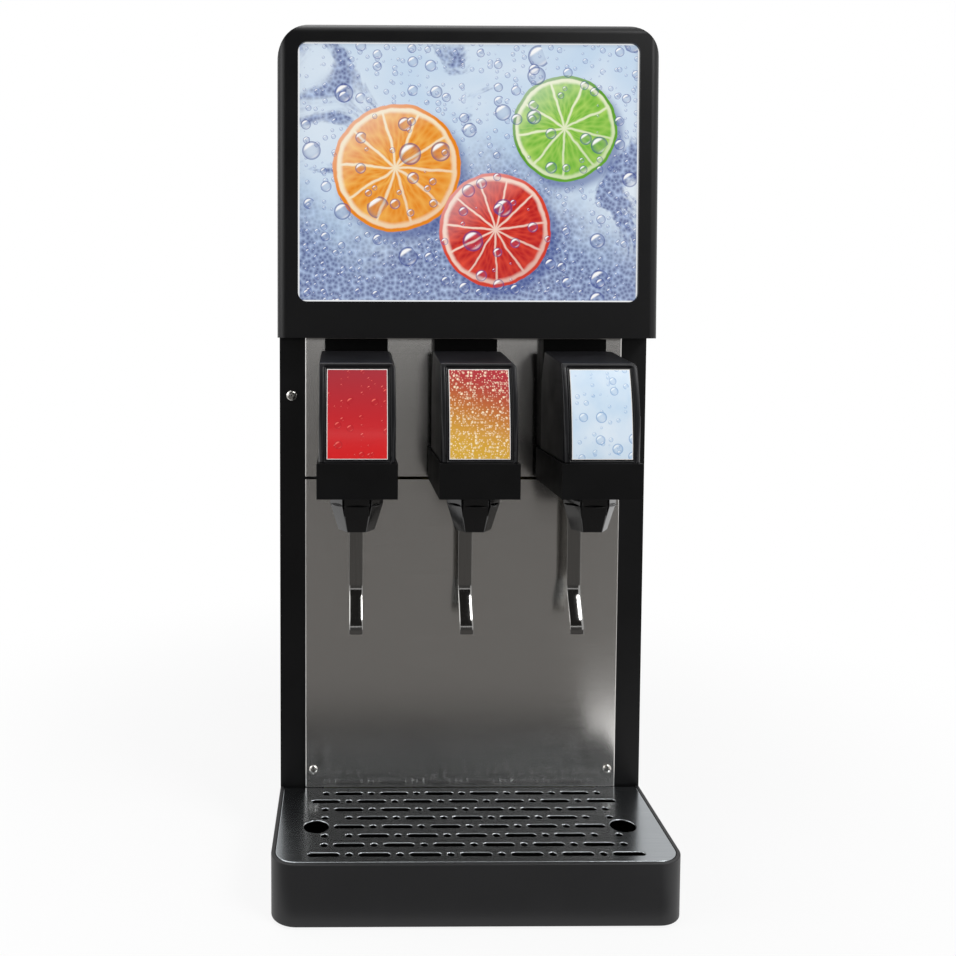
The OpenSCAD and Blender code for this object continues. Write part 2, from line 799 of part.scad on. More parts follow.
// The head as a full block, pulled in by i on every outer face
module head_block(i) {
    top_edge_z = top_z - head_edge_r;
    edge_y = y_tower - head_out_bottom + (top_edge_z - tower_h) * tan(head_lean)
        + head_edge_r / cos(head_lean);
    intersection() {
        along_y(y_tower - 2 * head_out_bottom, cab_d + 2 * head_out_bottom - i)
            translate([0, top_z - i]) mirror([0, 1])
                front_round(cab_w - 2 * i, head_h - i + (i > 0 ? cut : 0), head_corner_r - i);
        head_face() translate([0, i, -head_out_bottom]) linear_extrude(head_h + 2 * head_out_bottom)
            front_round(cab_w - 2 * i, cab_d + 2 * head_out_bottom, head_edge_r - i);
        along_x(cab_w + 2 * cut) {
            translate([edge_y, tower_h - 2 * cut]) square([cab_d + head_out_bottom, head_h + 2 * cut - i]);
            translate([edge_y - 2 * head_out_bottom, tower_h - 2 * cut])
                square([4 * head_out_bottom, head_h + 2 * cut - head_edge_r]);
            translate([edge_y, top_edge_z]) circle(r = head_edge_r - i);
        }
    }
}

// Black hood over the whole cabinet, with the window in front and ventilation slots behind
module head_shell() {
    color("#161616")
    difference() {
        head_block(0);
        difference() {
            head_block(head_wall);
            translate([-half_w, y_tower - 2 * head_out_bottom, tower_h - 2 * cut])
                cube([cab_w, 2 * head_out_bottom, head_wall + 2 * cut]);
        }
        head_face() along_y(-head_out_bottom, 2 * head_out_bottom)
            translate([0, window_sill + window_h / 2]) round_rect(window_w, window_h, window_r);
        along_y(y_rear - head_wall - cut, head_wall + 2 * cut)
            vent_slots(tower_h + vent_up, vent_rows);
    }
}

module window_panel() {
    color("lightblue")
    head_face() along_y(head_wall, print_t) translate([0, window_sill + window_h / 2])
        round_rect(window_w + 2 * print_lap, window_h + 2 * print_lap, window_r);
}

// White tray behind the printed panel, open towards it
module light_box() {
    color("white")
    head_face() difference() {
        along_y(head_wall + print_t, lightbox_d) translate([0, window_sill + window_h / 2])
            round_rect(window_w + 2 * print_lap, window_h + 2 * print_lap, window_r);
        along_y(head_wall + print_t - cut, lightbox_d - lightbox_wall + cut)
            translate([0, window_sill + window_h / 2])
            round_rect(window_w + 2 * print_lap - 2 * lightbox_wall,
                window_h + 2 * print_lap - 2 * lightbox_wall, window_r - lightbox_wall);
    }
}

module led_boards() {
    color("gold")
    head_face() for (k = [0 : led_rows - 1])
        translate([-window_w / 2 + led_inset, head_wall + print_t + lightbox_d - lightbox_wall - led_t,
            window_sill + (k + 0.5) * window_h / led_rows - led_h / 2])
            cube([window_w - 2 * led_inset, led_t, led_h]);
}

// Outline of the space inside the drip base's rim, pulled in by i and open to the rear by d
module rim_shape(i, d) {
    translate([0, rim_w + i]) front_round(cab_w - 2 * (rim_w + i), d, base_r - rim_w - i);
}

// Outline of the drip pan's well inside the ledge, pulled in by i
module well_shape(i) {
    side = rim_w + ledge_w + i;
    translate([0, side]) front_round(cab_w - 2 * side, well_d - 2 * i, well_r - i);
}

// Black box in front of the cabinet that carries the pan and the perforated cover
module drip_base() {
    color("#262626")
    translate([0, y_front, 0]) difference() {
        translate([0, 0, foot_h]) linear_extrude(base_top - foot_h) front_round(cab_w, tray_out, base_r);
        translate([0, 0, ledge_z]) linear_extrude(base_top) rim_shape(0, tray_out);
        translate([0, 0, foot_h + base_floor]) linear_extrude(base_top) well_shape(0);
        hole_y(-drain_x, tray_out - 2 * rim_w - ledge_w, drain_z, drain_r + fit, 3 * rim_w + ledge_w);
    }
}

module drip_pan() {
    color("silver")
    translate([0, y_front, 0]) difference() {
        union() {
            translate([0, 0, ledge_z]) linear_extrude(pan_t) rim_shape(fit, plate_d);
            translate([0, 0, pan_floor_z]) linear_extrude(ledge_z - pan_floor_z + pan_t / 2)
                well_shape(fit);
        }
        translate([0, 0, pan_floor_z + pan_t]) linear_extrude(base_top) well_shape(fit + pan_t);
        hole_y(-drain_x, well_d - ledge_w, drain_z, drain_bore_r, 2 * ledge_w + 2 * rim_w);
    }
}

// One row of the cover's drain holes: slots and round holes by turns
module drain_row(row) {
    reach = row == finger_row ? drain_count - 1 : drain_count;
    for (c = [-reach : reach]) {
        beside_finger = abs(row - finger_row) == 1 && abs(c) == drain_count;
        translate([c * hole_pitch, row_y(row)])
            if ((row + c) % 2 != 0 && !beside_finger) slot_shape(slot_len, slot_w);
            else circle(d = slot_w);
    }
}

function row_y(row) = ((drain_rows - 1) / 2 - row) * row_pitch;

module drip_cover() {
    color("silver")
    translate([0, 0, ledge_z + pan_t]) linear_extrude(plate_t) difference() {
        translate([0, y_front]) rim_shape(fit, plate_d);
        translate([0, plate_mid_y]) {
            for (row = [0 : drain_rows - 1]) drain_row(row);
            for (s = [-1, 1]) translate([s * finger_x, row_y(finger_row)]) circle(r = finger_r);
        }
    }
}

// Straight tube from the drip pan's rear wall, under the bath and out through the rear panel,
// where a wider spigot takes the waste hose
module drain_tube() {
    start = y_front + rim_w + ledge_w + well_d - fit;
    color("#303030")
    translate([-drain_x, start, drain_z]) rotate([-90, 0, 0]) difference() {
        union() {
            cylinder(r = drain_r, h = y_rear - start + inlet_out / 2);
            translate([0, 0, y_rear - start]) cylinder(r = drain_spigot_r, h = inlet_out);
        }
        translate([0, 0, -cut]) cylinder(r = drain_bore_r, h = y_rear - start + inlet_out + 2 * cut);
    }
}

// Lower tap body: an open box with the nozzle's socket, the lever's ears and the block on the panel
module tap_body(i) {
    color("#1a1a1a")
    at_tap(i) difference() {
        union() {
            difference() {
                translate([-tap_w / 2, -tap_out, tap_z])
                    cube([tap_w, tap_out + block_y + block_t / 2, band_h]);
                translate([-tap_w / 2 + tap_wall, -tap_out + tap_wall, tap_z + tap_floor])
                    cube([tap_w - 2 * tap_wall, tap_out - tap_wall + block_y, band_h]);
            }
            translate([-block_w / 2, block_y, tap_z]) cube([block_w, block_t, tower_h - tap_z - cut]);
            translate([0, -nozzle_out, tap_z]) cylinder(r = spigot_r + socket_wall, h = spigot_len + cut);
            for (s = [-1, 1])
                translate([s * (ear_x + ear_t / 2), -lever_out, tap_z + (pivot_up + hub_r) / 2])
                    cube([ear_t, 2 * hub_r, pivot_up + hub_r], center = true);
            translate([-switch_w / 2, switch_y - switch_d, tap_z])
                cube([switch_w, switch_d, switch_z - tap_z]);
            translate([-block_w / 2 + tap_wall, solenoid_y - solenoid_r, shelf_z])
                cube([block_w - 2 * tap_wall, block_y - solenoid_y + solenoid_r + cut, shelf_t]);
        }
        translate([0, -nozzle_out, tap_z - cut]) cylinder(r = spigot_r + run, h = spigot_len + 3 * cut);
        translate([0, -lever_out, pivot_z]) rotate([0, 90, 0])
            cylinder(r = pin_r + run, h = tap_w - 2 * tap_wall, center = true);
        translate([-lever_w / 2 - lever_gap, block_y - 2 * lever_t - hub_r, tap_z - cut])
            cube([lever_w + 2 * lever_gap, 2 * lever_t + hub_r - cut, tap_floor + 2 * cut]);
        for (s = [-1, 1])
            hole_y(s * line_x, -panel_proud - block_t / 2, line_z, line_r + run, block_t);
        for (z = tap_screw_z())
            hole_y(0, -panel_proud - block_t / 2 - cut, z, shank_r + run, block_t);
    }
}

// Side outline of the tap cover, pulled in by i
module cover_outline(i) {
    open = i > 0 ? cut : 0;
    intersection() {
        polygon([[cover_front + i, band_top - open], [cover_front + i, cover_top - i],
            [cover_back - cover_slope, cover_top + cover_rise - i],
            [cover_back + open, cover_top + cover_rise - i - 2 * cover_slope],
            [cover_back + open, band_top - open]]);
        translate([cover_bow_y, cover_bow_z]) circle(r = cover_bow_r - i);
    }
}

// A sheet that follows the cover's bowed front, between two depths under it
module bowed_sheet(w, h, outer, inner) {
    intersection() {
        along_x(w) difference() {
            translate([cover_bow_y, cover_bow_z]) circle(r = cover_bow_r - outer);
            translate([cover_bow_y, cover_bow_z]) circle(r = cover_bow_r - inner);
        }
        translate([-w, cover_front - cut, label_z + (label_h - h) / 2])
            cube([2 * w, tap_out / 2, h]);
    }
}

// Snap-on cover of a tap: a bowed front with rounded corners and a recess for the label
module tap_cover(i) {
    color("#181818")
    at_tap(i) difference() {
        intersection() {
            along_x(cover_w) cover_outline(0);
            translate([0, cover_front, band_top]) linear_extrude(cover_h + cover_rise)
                front_round(cover_w, tap_out, cover_r);
            translate([0, cover_front, cover_top]) rotate([rise_angle, 0, 0])
                along_y(-tap_out, 2 * tap_out)
                    rotate(180) front_round(cover_w, cover_h + tap_out, cover_r);
        }
        along_x(cover_w - 2 * cover_wall) cover_outline(cover_wall);
        bowed_sheet(label_w + 2 * label_border, label_h + 2 * label_border, -cut, label_recess);
    }
}

module tap_label(i) {
    color(["crimson", "darkorange", "lightblue"][i])
    at_tap(i) bowed_sheet(label_w, label_h, label_recess - label_t - glue, label_recess - glue);
}

// Six-sided grip nozzle with a funnel bore; its spigot turns in the tap's socket
module nozzle(i) {
    top = tap_z - fit;
    bottom = tap_z - nozzle_len;
    cone_top = top - nozzle_straight;
    cone_angle = atan((nozzle_flat_r - nozzle_tip_flat_r) / (cone_top - bottom));
    color("#141414")
    translate([TAP_X[i], y_tower - nozzle_out, 0]) difference() {
        rotate_extrude() polygon([[nozzle_bore_r, bottom], [nozzle_tip_r, bottom], [nozzle_r, cone_top],
            [nozzle_r, top], [spigot_r, top], [spigot_r, top + spigot_len],
            [nozzle_throat_r, top + spigot_len], [nozzle_throat_r, cone_top]]);
        for (k = [0 : 5]) rotate([0, 0, 60 * k]) {
            translate([-nozzle_r, -nozzle_r - nozzle_flat_r, cone_top])
                cube([2 * nozzle_r, nozzle_r, top - cone_top + fit / 2]);
            translate([0, -nozzle_flat_r, cone_top]) rotate([cone_angle, 0, 0])
                translate([-nozzle_r, -nozzle_r, -2 * nozzle_len])
                    cube([2 * nozzle_r, nozzle_r, 2 * nozzle_len]);
            rotate([0, 0, 30]) translate([-groove_w / 2, -nozzle_r - cut, bottom - cut])
                cube([groove_w, groove_d + cut, top - bottom + cut - nozzle_collar]);
        }
    }
}

// Stainless strip: arm and hub at the pin, upright stem, leaning paddle, upright tip
module lever(i) {
    h = lever_t / 2;
    m = h * tan(lean_angle / 2);
    y0 = -lever_out;
    y1 = -lever_out - paddle_out;
    z1 = lever_bend_z;
    z2 = lever_bend_z - paddle_h;
    color("lightgray")
    at_tap(i) difference() {
        union() {
            along_x(lever_w) polygon([[y0 - h, pivot_z + arm_up], [y0 - h, z1 + m], [y1 - h, z2 + m],
                [y1 - h, z2 - lever_tip_h], [y1 + h, z2 - lever_tip_h], [y1 + h, z2 - m], [y0 + h, z1 - m],
                [y0 + h, pivot_z + arm_up]]);
            translate([0, y0, pivot_z]) rotate([0, 90, 0]) cylinder(r = hub_r, h = lever_w, center = true);
        }
        translate([0, y0, pivot_z]) rotate([0, 90, 0])
            cylinder(r = pin_r + run, h = 2 * lever_w, center = true);
    }
}

// Closed coil of the return spring on each pin, beside the hub
module lever_springs() {
    color("silver")
    for (i = [0 : 2]) at_tap(i) translate([lever_w / 2 + fit, -lever_out, pivot_z])
        rotate([0, 90, 0]) difference() {
            cylinder(r = hub_r - fit, h = spring_room - 2 * fit);
            translate([0, 0, -cut]) cylinder(r = pin_r + fit, h = spring_room + 2 * cut);
        }
}

module switch_button(i) {
    color("firebrick")
    at_tap(i) translate([0, arm_face - fit, pivot_z + button_up]) rotate([90, 0, 0])
        cylinder(r = button_r, h = button_len);
}

module lever_pins() {
    color("silver")
    for (i = [0 : 2]) at_tap(i) translate([0, -lever_out, pivot_z]) rotate([0, 90, 0])
        cylinder(r = pin_r, h = 2 * (ear_x + ear_t), center = true);
}

module tap_switches() {
    color("#303030")
    for (i = [0 : 2]) at_tap(i) difference() {
        translate([-switch_w / 2, switch_y - switch_d, switch_z]) cube([switch_w, switch_d, switch_h]);
        translate([0, switch_y + cut, pivot_z + button_up]) rotate([90, 0, 0])
            cylinder(r = button_r + run, h = button_len + button_travel - switch_gap + fit + 2 * cut);
    }
}

module solenoids() {
    color("#303030")
    for (i = [0 : 2], s = [-1, 1]) at_tap(i) translate([s * solenoid_x, solenoid_y, shelf_z + shelf_t])
        cylinder(r = solenoid_r, h = solenoid_h);
}

module tap_screws() {
    color("silver")
    for (i = [0 : 2], z = tap_screw_z()) at_tap(i) translate([0, -panel_proud + panel_t, z])
        rotate([0, 0, 180]) pan_screw(tap_screw_r, panel_t + block_t / 2);
}

// Two drink lines for each tap, from the block over the bath's front wall and down into the water,
// and one line from each inlet up the rear and over the bath's rear wall
module drink_lines() {
    inlet_end = y_rear - sheet - shank_len - fit;
    rise_y = y_rear - bath_rear_gap / 2;
    drop_y = tank_y1 - bath_t - line_r - line_gap;
    low_z = tank_floor + line_end;
    color("lightgray") {
        for (k = [0 : inlets - 1]) translate([inlet_x(k), 0, 0])
            pipe([[0, inlet_end, inlet_z], [0, rise_y, inlet_z], [0, rise_y, line_z],
                [0, drop_y, line_z], [0, drop_y, low_z]], line_r);
        for (i = [0 : 2], s = [-1, 1]) at_tap(i) translate([s * line_x, 0, 0])
            pipe([[0, -panel_proud - block_t / 2, line_z], [0, line_drop, line_z], [0, line_drop, low_z]],
                line_r);
    }
}

// Foam box round the water bath, with a channel underneath for the drain tube
module bath_insulation() {
    color("beige")
    difference() {
        translate([-bath_w / 2, bath_y0, bath_z]) cube([bath_w, bath_y1 - bath_y0, bath_top - bath_z]);
        translate([-tank_w / 2, tank_y0, bath_z + insul_t]) cube([tank_w, tank_y1 - tank_y0, bath_top]);
        translate([-drain_x - drain_r - cut, bath_y0 - cut, bath_z - cut])
            cube([2 * (drain_r + cut), bath_y1 - bath_y0 + 2 * cut, drain_z + drain_r + 2 * cut - bath_z]);
    }
}

module bath_tank() {
    color("silver")
    difference() {
        translate([-tank_w / 2, tank_y0, bath_z + insul_t])
            cube([tank_w, tank_y1 - tank_y0, bath_top - bath_z - insul_t]);
        translate([-tank_w / 2 + bath_t, tank_y0 + bath_t, tank_floor])
            cube([tank_w - 2 * bath_t, tank_y1 - tank_y0 - 2 * bath_t, bath_top]);
    }
}

// Copper coil hung in the bath from its two pipes; the suction pipe runs on to the compressor
module evaporator() {
    color("peru") {
        translate([0, bath_y, 0]) rotate_extrude() polygon(concat(
            [[coil_r - coil_tube, coil_z], [coil_r - coil_tube, coil_top]],
            [for (k = [coil_turns - 1 : -1 : 0], e = TURN)
                [coil_r + e[0] * coil_tube, coil_z + (k + e[1]) * coil_pitch]]));
        pipe([[RISERS[0].x, RISERS[0].y, coil_z + coil_tube], [RISERS[0].x, RISERS[0].y, riser_top]],
            pipe_r);
        pipe([[RISERS[1].x, RISERS[1].y, coil_z + coil_tube], [RISERS[1].x, RISERS[1].y, suction_z],
            [comp_x, RISERS[1].y, suction_z], [comp_x, comp_y - comp_r - fit, suction_z]], pipe_r);
    }
}

module carbonator() {
    color("silver")
    translate([-carb_x, bath_y, tank_floor]) {
        cylinder(r = carb_r, h = carb_h);
        translate([0, 0, carb_h]) cylinder(r1 = carb_r, r2 = carb_r * carb_shoulder, h = carb_shoulder_h);
        for (a = [0 : 120 : 240]) rotate([0, 0, a]) translate([carb_r * carb_pipe_at, 0, carb_h])
            cylinder(r = carb_pipe_r, h = carb_pipe_h);
    }
}

// Shaft and paddle wheel that stir the bath
module agitator() {
    blade_z = tank_floor + agit_lift;
    color("lightgray")
    translate([agit_x, bath_y, 0]) {
        translate([0, 0, blade_z]) cylinder(r = agit_shaft_r, h = deck_z + agit_motor_h / 2 - blade_z);
        translate([0, 0, blade_z]) cylinder(r = agit_hub * agit_shaft_r, h = agit_hub_h);
        for (k = [0 : 3]) rotate([0, 0, 90 * k])
            translate([agit_shaft_r, 0, blade_z + agit_hub_h / 2]) rotate([agit_pitch, 0, 0])
                translate([0, -agit_blade_t / 2, -agit_blade_h / 2])
                    cube([agit_r - agit_shaft_r, agit_blade_t, agit_blade_h]);
    }
}

module agitator_motor() {
    color("#303030")
    translate([agit_x, bath_y, deck_z]) difference() {
        cylinder(r = agit_motor_r, h = agit_motor_h);
        translate([0, 0, -cut]) cylinder(r = agit_shaft_r + run, h = agit_motor_h / 2 + 2 * cut);
    }
}

// Plate over the bath that carries the refrigeration machine
module machine_deck() {
    color("silver")
    difference() {
        translate([-half_w + head_wall + fit, y_tower + fit, tower_h])
            cube([cab_w - 2 * (head_wall + fit), cab_d - head_wall - 2 * fit, deck_t]);
        translate([agit_x, bath_y, tower_h - cut])
            cylinder(r = agit_shaft_r + agit_gap, h = deck_t + 2 * cut);
        for (p = RISERS) translate([p.x, p.y, tower_h - cut])
            cylinder(r = pipe_r + fit, h = deck_t + 2 * cut);
    }
}

module compressor() {
    color("#202020")
    translate([comp_x, comp_y, deck_z]) {
        translate([-comp_r, -comp_foot_d / 2, 0]) cube([2 * comp_r, comp_foot_d, comp_foot_t]);
        intersection() {
            cylinder(r = comp_r, h = comp_h + comp_r);
            translate([0, 0, comp_top - deck_z - comp_dome_r]) sphere(r = comp_dome_r);
        }
    }
}

// Finned block behind the fan, with its pipes to the compressor and to the evaporator
module condenser() {
    fin_step = cond_w / (fins + 1);
    pipe_y = cond_y + cond_t / 2;
    hot_z = comp_top + hot_up;
    cold_z = riser_top + cold_up;
    color("#303030") {
        translate([-cond_w / 2, cond_y, deck_z]) difference() {
            cube([cond_w, cond_t, cond_h]);
            for (k = [1 : fins]) translate([k * fin_step - fin_gap / 2, -cut, fin_margin])
                cube([fin_gap, fin_d + cut, cond_h - 2 * fin_margin]);
        }
        pipe([[-cond_w / 2 + cut, pipe_y, hot_z], [-pipe_x, pipe_y, hot_z], [-pipe_x, comp_y, hot_z],
            [comp_x, comp_y, hot_z], [comp_x, comp_y, comp_top + fit]], pipe_r);
        pipe([[cond_w / 2 - cut, pipe_y, cold_z], [pipe_x, pipe_y, cold_z],
            [pipe_x, RISERS[0].y, cold_z], [RISERS[0].x, RISERS[0].y, cold_z],
            [RISERS[0].x, RISERS[0].y, riser_top + fit]], pipe_r);
    }
}

module fan_shroud() {
    color("#303030")
    translate([0, cond_y - shroud_t, 0]) difference() {
        translate([-cond_w / 2, 0, deck_z]) cube([cond_w, shroud_t, cond_h]);
        hole_y(0, -cut, fan_z, fan_r + fan_gap, shroud_t + 2 * cut);
    }
}

// Fan motor and its three arms, which reach round the blades to the shroud
module fan_motor() {
    reach = fan_r + fan_gap + arm_gap;
    color("#404040")
    translate([0, motor_y, fan_z]) difference() {
        union() {
            rotate([90, 0, 0]) cylinder(r = fan_motor_r, h = fan_motor_l);
            for (a = [90, 210, 330]) rotate([0, a, 0]) {
                translate([fan_motor_r - arm_t, -arm_back, -arm_w / 2])
                    cube([reach - fan_motor_r + 2 * arm_t, arm_t, arm_w]);
                translate([reach, -arm_back, -arm_w / 2])
                    cube([arm_t, cond_y - shroud_t - motor_y + arm_back, arm_w]);
            }
        }
        rotate([90, 0, 0]) translate([0, 0, -cut])
            cylinder(r = fan_shaft_r + run, h = fan_motor_l * bore_part + cut);
    }
}

module condenser_fan() {
    shaft = fan_room + fan_motor_l / 2;
    color("#505050")
    translate([0, fan_y, fan_z]) rotate([-90, 0, 0]) {
        cylinder(r = fan_hub_r, h = fan_d);
        translate([0, 0, -shaft]) cylinder(r = fan_shaft_r, h = shaft + fan_d / 2);
        for (k = [0 : fan_blades - 1]) rotate([0, 0, k * 360 / fan_blades])
            translate([fan_hub_r - blade_root, 0, fan_d / 2]) rotate([fan_pitch, 0, 0])
                translate([0, -fan_blade_w / 2, -fan_blade_t / 2])
                    cube([fan_r - fan_hub_r - blade_root, fan_blade_w, fan_blade_t]);
    }
}

// Carbonated-water pump on its motor, with its foot on the deck
module water_pump() {
    color("#383838")
    translate([pump_x, pump_y, pump_z]) {
        rotate([0, 90, 0]) cylinder(r = pump_r, h = pump_l);
        rotate([0, 90, 0]) translate([0, 0, pump_l]) cylinder(r = pump_head_r, h = pump_head_l);
        translate([(pump_l - pump_foot_l) / 2, -pump_foot_d / 2, deck_z - pump_z])
            cube([pump_foot_l, pump_foot_d, pump_z - deck_z - pump_r / 2]);
    }
}

module control_box() {
    color("#c8c8c0")
    translate([-half_w + head_wall + control_side, light_back_y + control_gap, deck_z])
        cube([control_w, control_d, control_h]);
}

// Spigots for syrup, water and gas, each held in the rear panel by its nut
module inlet_fittings() {
    color("silver")
    for (k = [0 : inlets - 1]) translate([inlet_x(k), y_rear, inlet_z]) rotate([-90, 0, 0]) difference() {
        union() {
            translate([0, 0, -sheet - shank_len]) cylinder(r = inlet_r, h = sheet + shank_len + inlet_out);
            cylinder(d = nut_w / cos(30), h = nut_t, $fn = 6);
            translate([0, 0, -sheet - nut_t]) cylinder(d = nut_w / cos(30), h = nut_t, $fn = 6);
        }
        translate([0, 0, -sheet - shank_len - cut])
            cylinder(r = inlet_r - inlet_wall, h = sheet + shank_len + inlet_out + 2 * cut);
    }
}

// Mains inlet with three blades in its recess
module power_inlet() {
    color("#101010")
    translate([power_x, y_rear, power_z]) {
        difference() {
            union() {
                translate([-power_w / 2 + fit, -power_d, -power_h / 2 + fit])
                    cube([power_w - 2 * fit, power_d, power_h - 2 * fit]);
                translate([-power_w / 2 - power_flange, 0, -power_h / 2 - power_flange])
                    cube([power_w + 2 * power_flange, power_flange_t, power_h + 2 * power_flange]);
            }
            translate([-power_w / 2 + power_wall, -power_d + power_floor, -power_h / 2 + power_wall])
                cube([power_w - 2 * power_wall, power_d, power_h - 2 * power_wall]);
        }
        for (p = POWER_BLADES)
            translate([p[0] - power_blade.x / 2, -power_d + power_floor, p[1] - power_blade.z / 2])
                cube(power_blade);
    }
}

// Frame of the power switch, snapped into the rear panel
module switch_frame() {
    w = rocker_w + 2 * rocker_wall;
    h = rocker_h + 2 * rocker_wall;
    color("#101010")
    translate([power_x, y_rear, rocker_z]) difference() {
        union() {
            translate([-w / 2 + fit, -rocker_d, -h / 2 + fit]) cube([w - 2 * fit, rocker_d, h - 2 * fit]);
            translate([-w / 2 - rocker_flange, 0, -h / 2 - rocker_flange])
                cube([w + 2 * rocker_flange, rocker_flange_t, h + 2 * rocker_flange]);
        }
        translate([-rocker_w / 2 - rocker_gap, -rocker_d + rocker_floor, -rocker_h / 2 - rocker_gap])
            cube([rocker_w + 2 * rocker_gap, rocker_d, rocker_h + 2 * rocker_gap]);
        translate([0, -rocker_in, 0]) rotate([0, 90, 0])
            cylinder(r = rocker_pin_r + run, h = 2 * w, center = true);
    }
}

// Rocker that rests with its upper half pressed in
module power_rocker() {
    edge_y = rocker_in + rocker_h / 2 * tan(rocker_tilt);
    half_h = rocker_h / 2;
    root_h = rocker_h / 3;
    color("#101010")
    translate([power_x, y_rear - rocker_in, rocker_z]) {
        rotate([rocker_tilt, 0, 0]) along_x(rocker_w) polygon([[-2 * rocker_in, -root_h],
            [edge_y, -half_h], [rocker_in, 0], [edge_y, half_h], [-2 * rocker_in, root_h]]);
        rotate([0, 90, 0])
            cylinder(r = rocker_pin_r, h = rocker_w + 2 * (rocker_wall - fit), center = true);
    }
}

base_plate();
feet();
side_panel(-1);  // side_panel_left
side_panel(1);  // side_panel_right
rear_panel();
rear_screws();
lower_panel();
upper_panel();
panel_screws();
column_screws();
head_shell();
window_panel();
light_box();
led_boards();
drip_base();
drip_pan();
drip_cover();
drain_tube();
tap_body(0);  // tap_body_left
tap_body(1);  // tap_body_middle
tap_body(2);  // tap_body_right
tap_cover(0);  // tap_cover_left
tap_cover(1);  // tap_cover_middle
tap_cover(2);  // tap_cover_right
tap_label(0);  // tap_label_left
tap_label(1);  // tap_label_middle
tap_label(2);  // tap_label_right
nozzle(0);  // nozzle_left
nozzle(1);  // nozzle_middle
nozzle(2);  // nozzle_right
lever(0);  // lever_left
lever(1);  // lever_middle
lever(2);  // lever_right
lever_springs();
switch_button(0);  // switch_button_left
switch_button(1);  // switch_button_middle
switch_button(2);  // switch_button_right
lever_pins();
tap_switches();
solenoids();
tap_screws();
drink_lines();
bath_insulation();
bath_tank();
evaporator();
carbonator();
agitator();
agitator_motor();
machine_deck();
compressor();
condenser();
fan_shroud();
fan_motor();
condenser_fan();
water_pump();
control_box();
inlet_fittings();
power_inlet();
switch_frame();
power_rocker();
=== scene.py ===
import math

import bpy
from mathutils import Matrix, Vector


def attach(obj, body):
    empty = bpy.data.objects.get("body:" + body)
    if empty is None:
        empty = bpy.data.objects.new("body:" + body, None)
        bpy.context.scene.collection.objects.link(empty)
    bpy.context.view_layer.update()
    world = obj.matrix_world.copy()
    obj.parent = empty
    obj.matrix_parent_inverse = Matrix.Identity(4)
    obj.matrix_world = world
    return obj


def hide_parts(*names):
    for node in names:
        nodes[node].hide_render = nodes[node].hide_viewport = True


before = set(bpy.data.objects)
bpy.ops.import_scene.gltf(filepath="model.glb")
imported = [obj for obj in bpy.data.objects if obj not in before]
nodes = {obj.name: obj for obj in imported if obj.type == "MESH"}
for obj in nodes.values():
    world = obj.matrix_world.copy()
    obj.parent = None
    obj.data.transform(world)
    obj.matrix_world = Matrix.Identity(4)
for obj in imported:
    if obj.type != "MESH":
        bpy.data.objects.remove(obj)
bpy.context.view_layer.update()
scene = bpy.context.scene
scene.view_settings.view_transform = "Standard"

# The camera. It stands in front of the dispenser, a little to the left and level with the taps'
# covers, where the fit to the tray, the columns, the head and the taps put it.
lens_pitch, lens_yaw, lens_roll = 0.0556, 0.0109, 0.0021
ahead = Vector((math.sin(lens_yaw) * math.cos(lens_pitch),
                math.cos(lens_yaw) * math.cos(lens_pitch), -math.sin(lens_pitch)))
level = Vector((math.cos(lens_yaw), -math.sin(lens_yaw), 0))
upright = level.cross(ahead)
across = math.cos(lens_roll) * level + math.sin(lens_roll) * upright
above = math.cos(lens_roll) * upright - math.sin(lens_roll) * level
camera = bpy.data.objects.new("camera", bpy.data.cameras.new("camera"))
camera.data.sensor_width = 36
camera.data.lens = 37.6644
camera.data.shift_x, camera.data.shift_y = 0.1247, -0.1
camera.matrix_world = (Matrix.Translation((-0.0974343, -0.9768467, 0.4460554))
                       @ Matrix((across, above, -ahead)).transposed().to_4x4())
scene.collection.objects.link(camera)
scene.camera = camera


# The studio. A white floor and surround, so that the dispenser stands free, a soft key lamp at the
# upper right, and grey cards in front of it that only its reflections see, as flags in a studio.
# The white gap between the two upright cards gives the levers' bends their glints.
def lin(code):
    """Linear colour of an sRGB hex code."""
    parts = [int(code[i:i + 2], 16) / 255 for i in (1, 3, 5)]
    return [v / 12.92 if v <= 0.04045 else ((v + 0.055) / 1.055) ** 2.4 for v in parts] + [1.0]


def wire(tree, node, inputs):
    """Set a node's sockets: a value, a node (its first output), or a node with an output's name."""
    for key, value in inputs.items():
        socket = node.inputs[key] if isinstance(key, int) else next(
            s for s in node.inputs if s.enabled and s.name == key)
        if isinstance(value, tuple) and isinstance(value[0], bpy.types.Node):
            tree.links.new(value[0].outputs[value[1]], socket)
        elif isinstance(value, bpy.types.Node):
            tree.links.new(next(s for s in value.outputs if s.enabled), socket)
        else:
            socket.default_value = value


def add(tree, kind, inputs=None, **settings):
    """Add a node with its settings and its links."""
    node = tree.nodes.new(kind)
    for name, value in settings.items():
        setattr(node, name, value)
    wire(tree, node, inputs or {})
    return node


def seen_rays(tree):
    """1 for the rays that show the surround itself, or its reflection."""
    path = add(tree, "ShaderNodeLightPath")
    either = add(tree, "ShaderNodeMath", {0: (path, "Is Camera Ray"), 1: (path, "Is Glossy Ray")},
                 operation="MAXIMUM")
    return add(tree, "ShaderNodeMath", {0: either, 1: (path, "Is Transmission Ray")},
               operation="MAXIMUM")


surround = bpy.data.worlds.new("surround")
surround.use_nodes = True
tree = surround.node_tree
tree.nodes.clear()
soft = add(tree, "ShaderNodeBackground", {"Color": lin("#f4f4f6"), "Strength": 0.42})
white = add(tree, "ShaderNodeBackground", {"Color": lin("#ffffff"), "Strength": 1.0})
both = add(tree, "ShaderNodeMixShader", {0: seen_rays(tree), 1: soft, 2: white})
add(tree, "ShaderNodeOutputWorld", {"Surface": both})
scene.world = surround


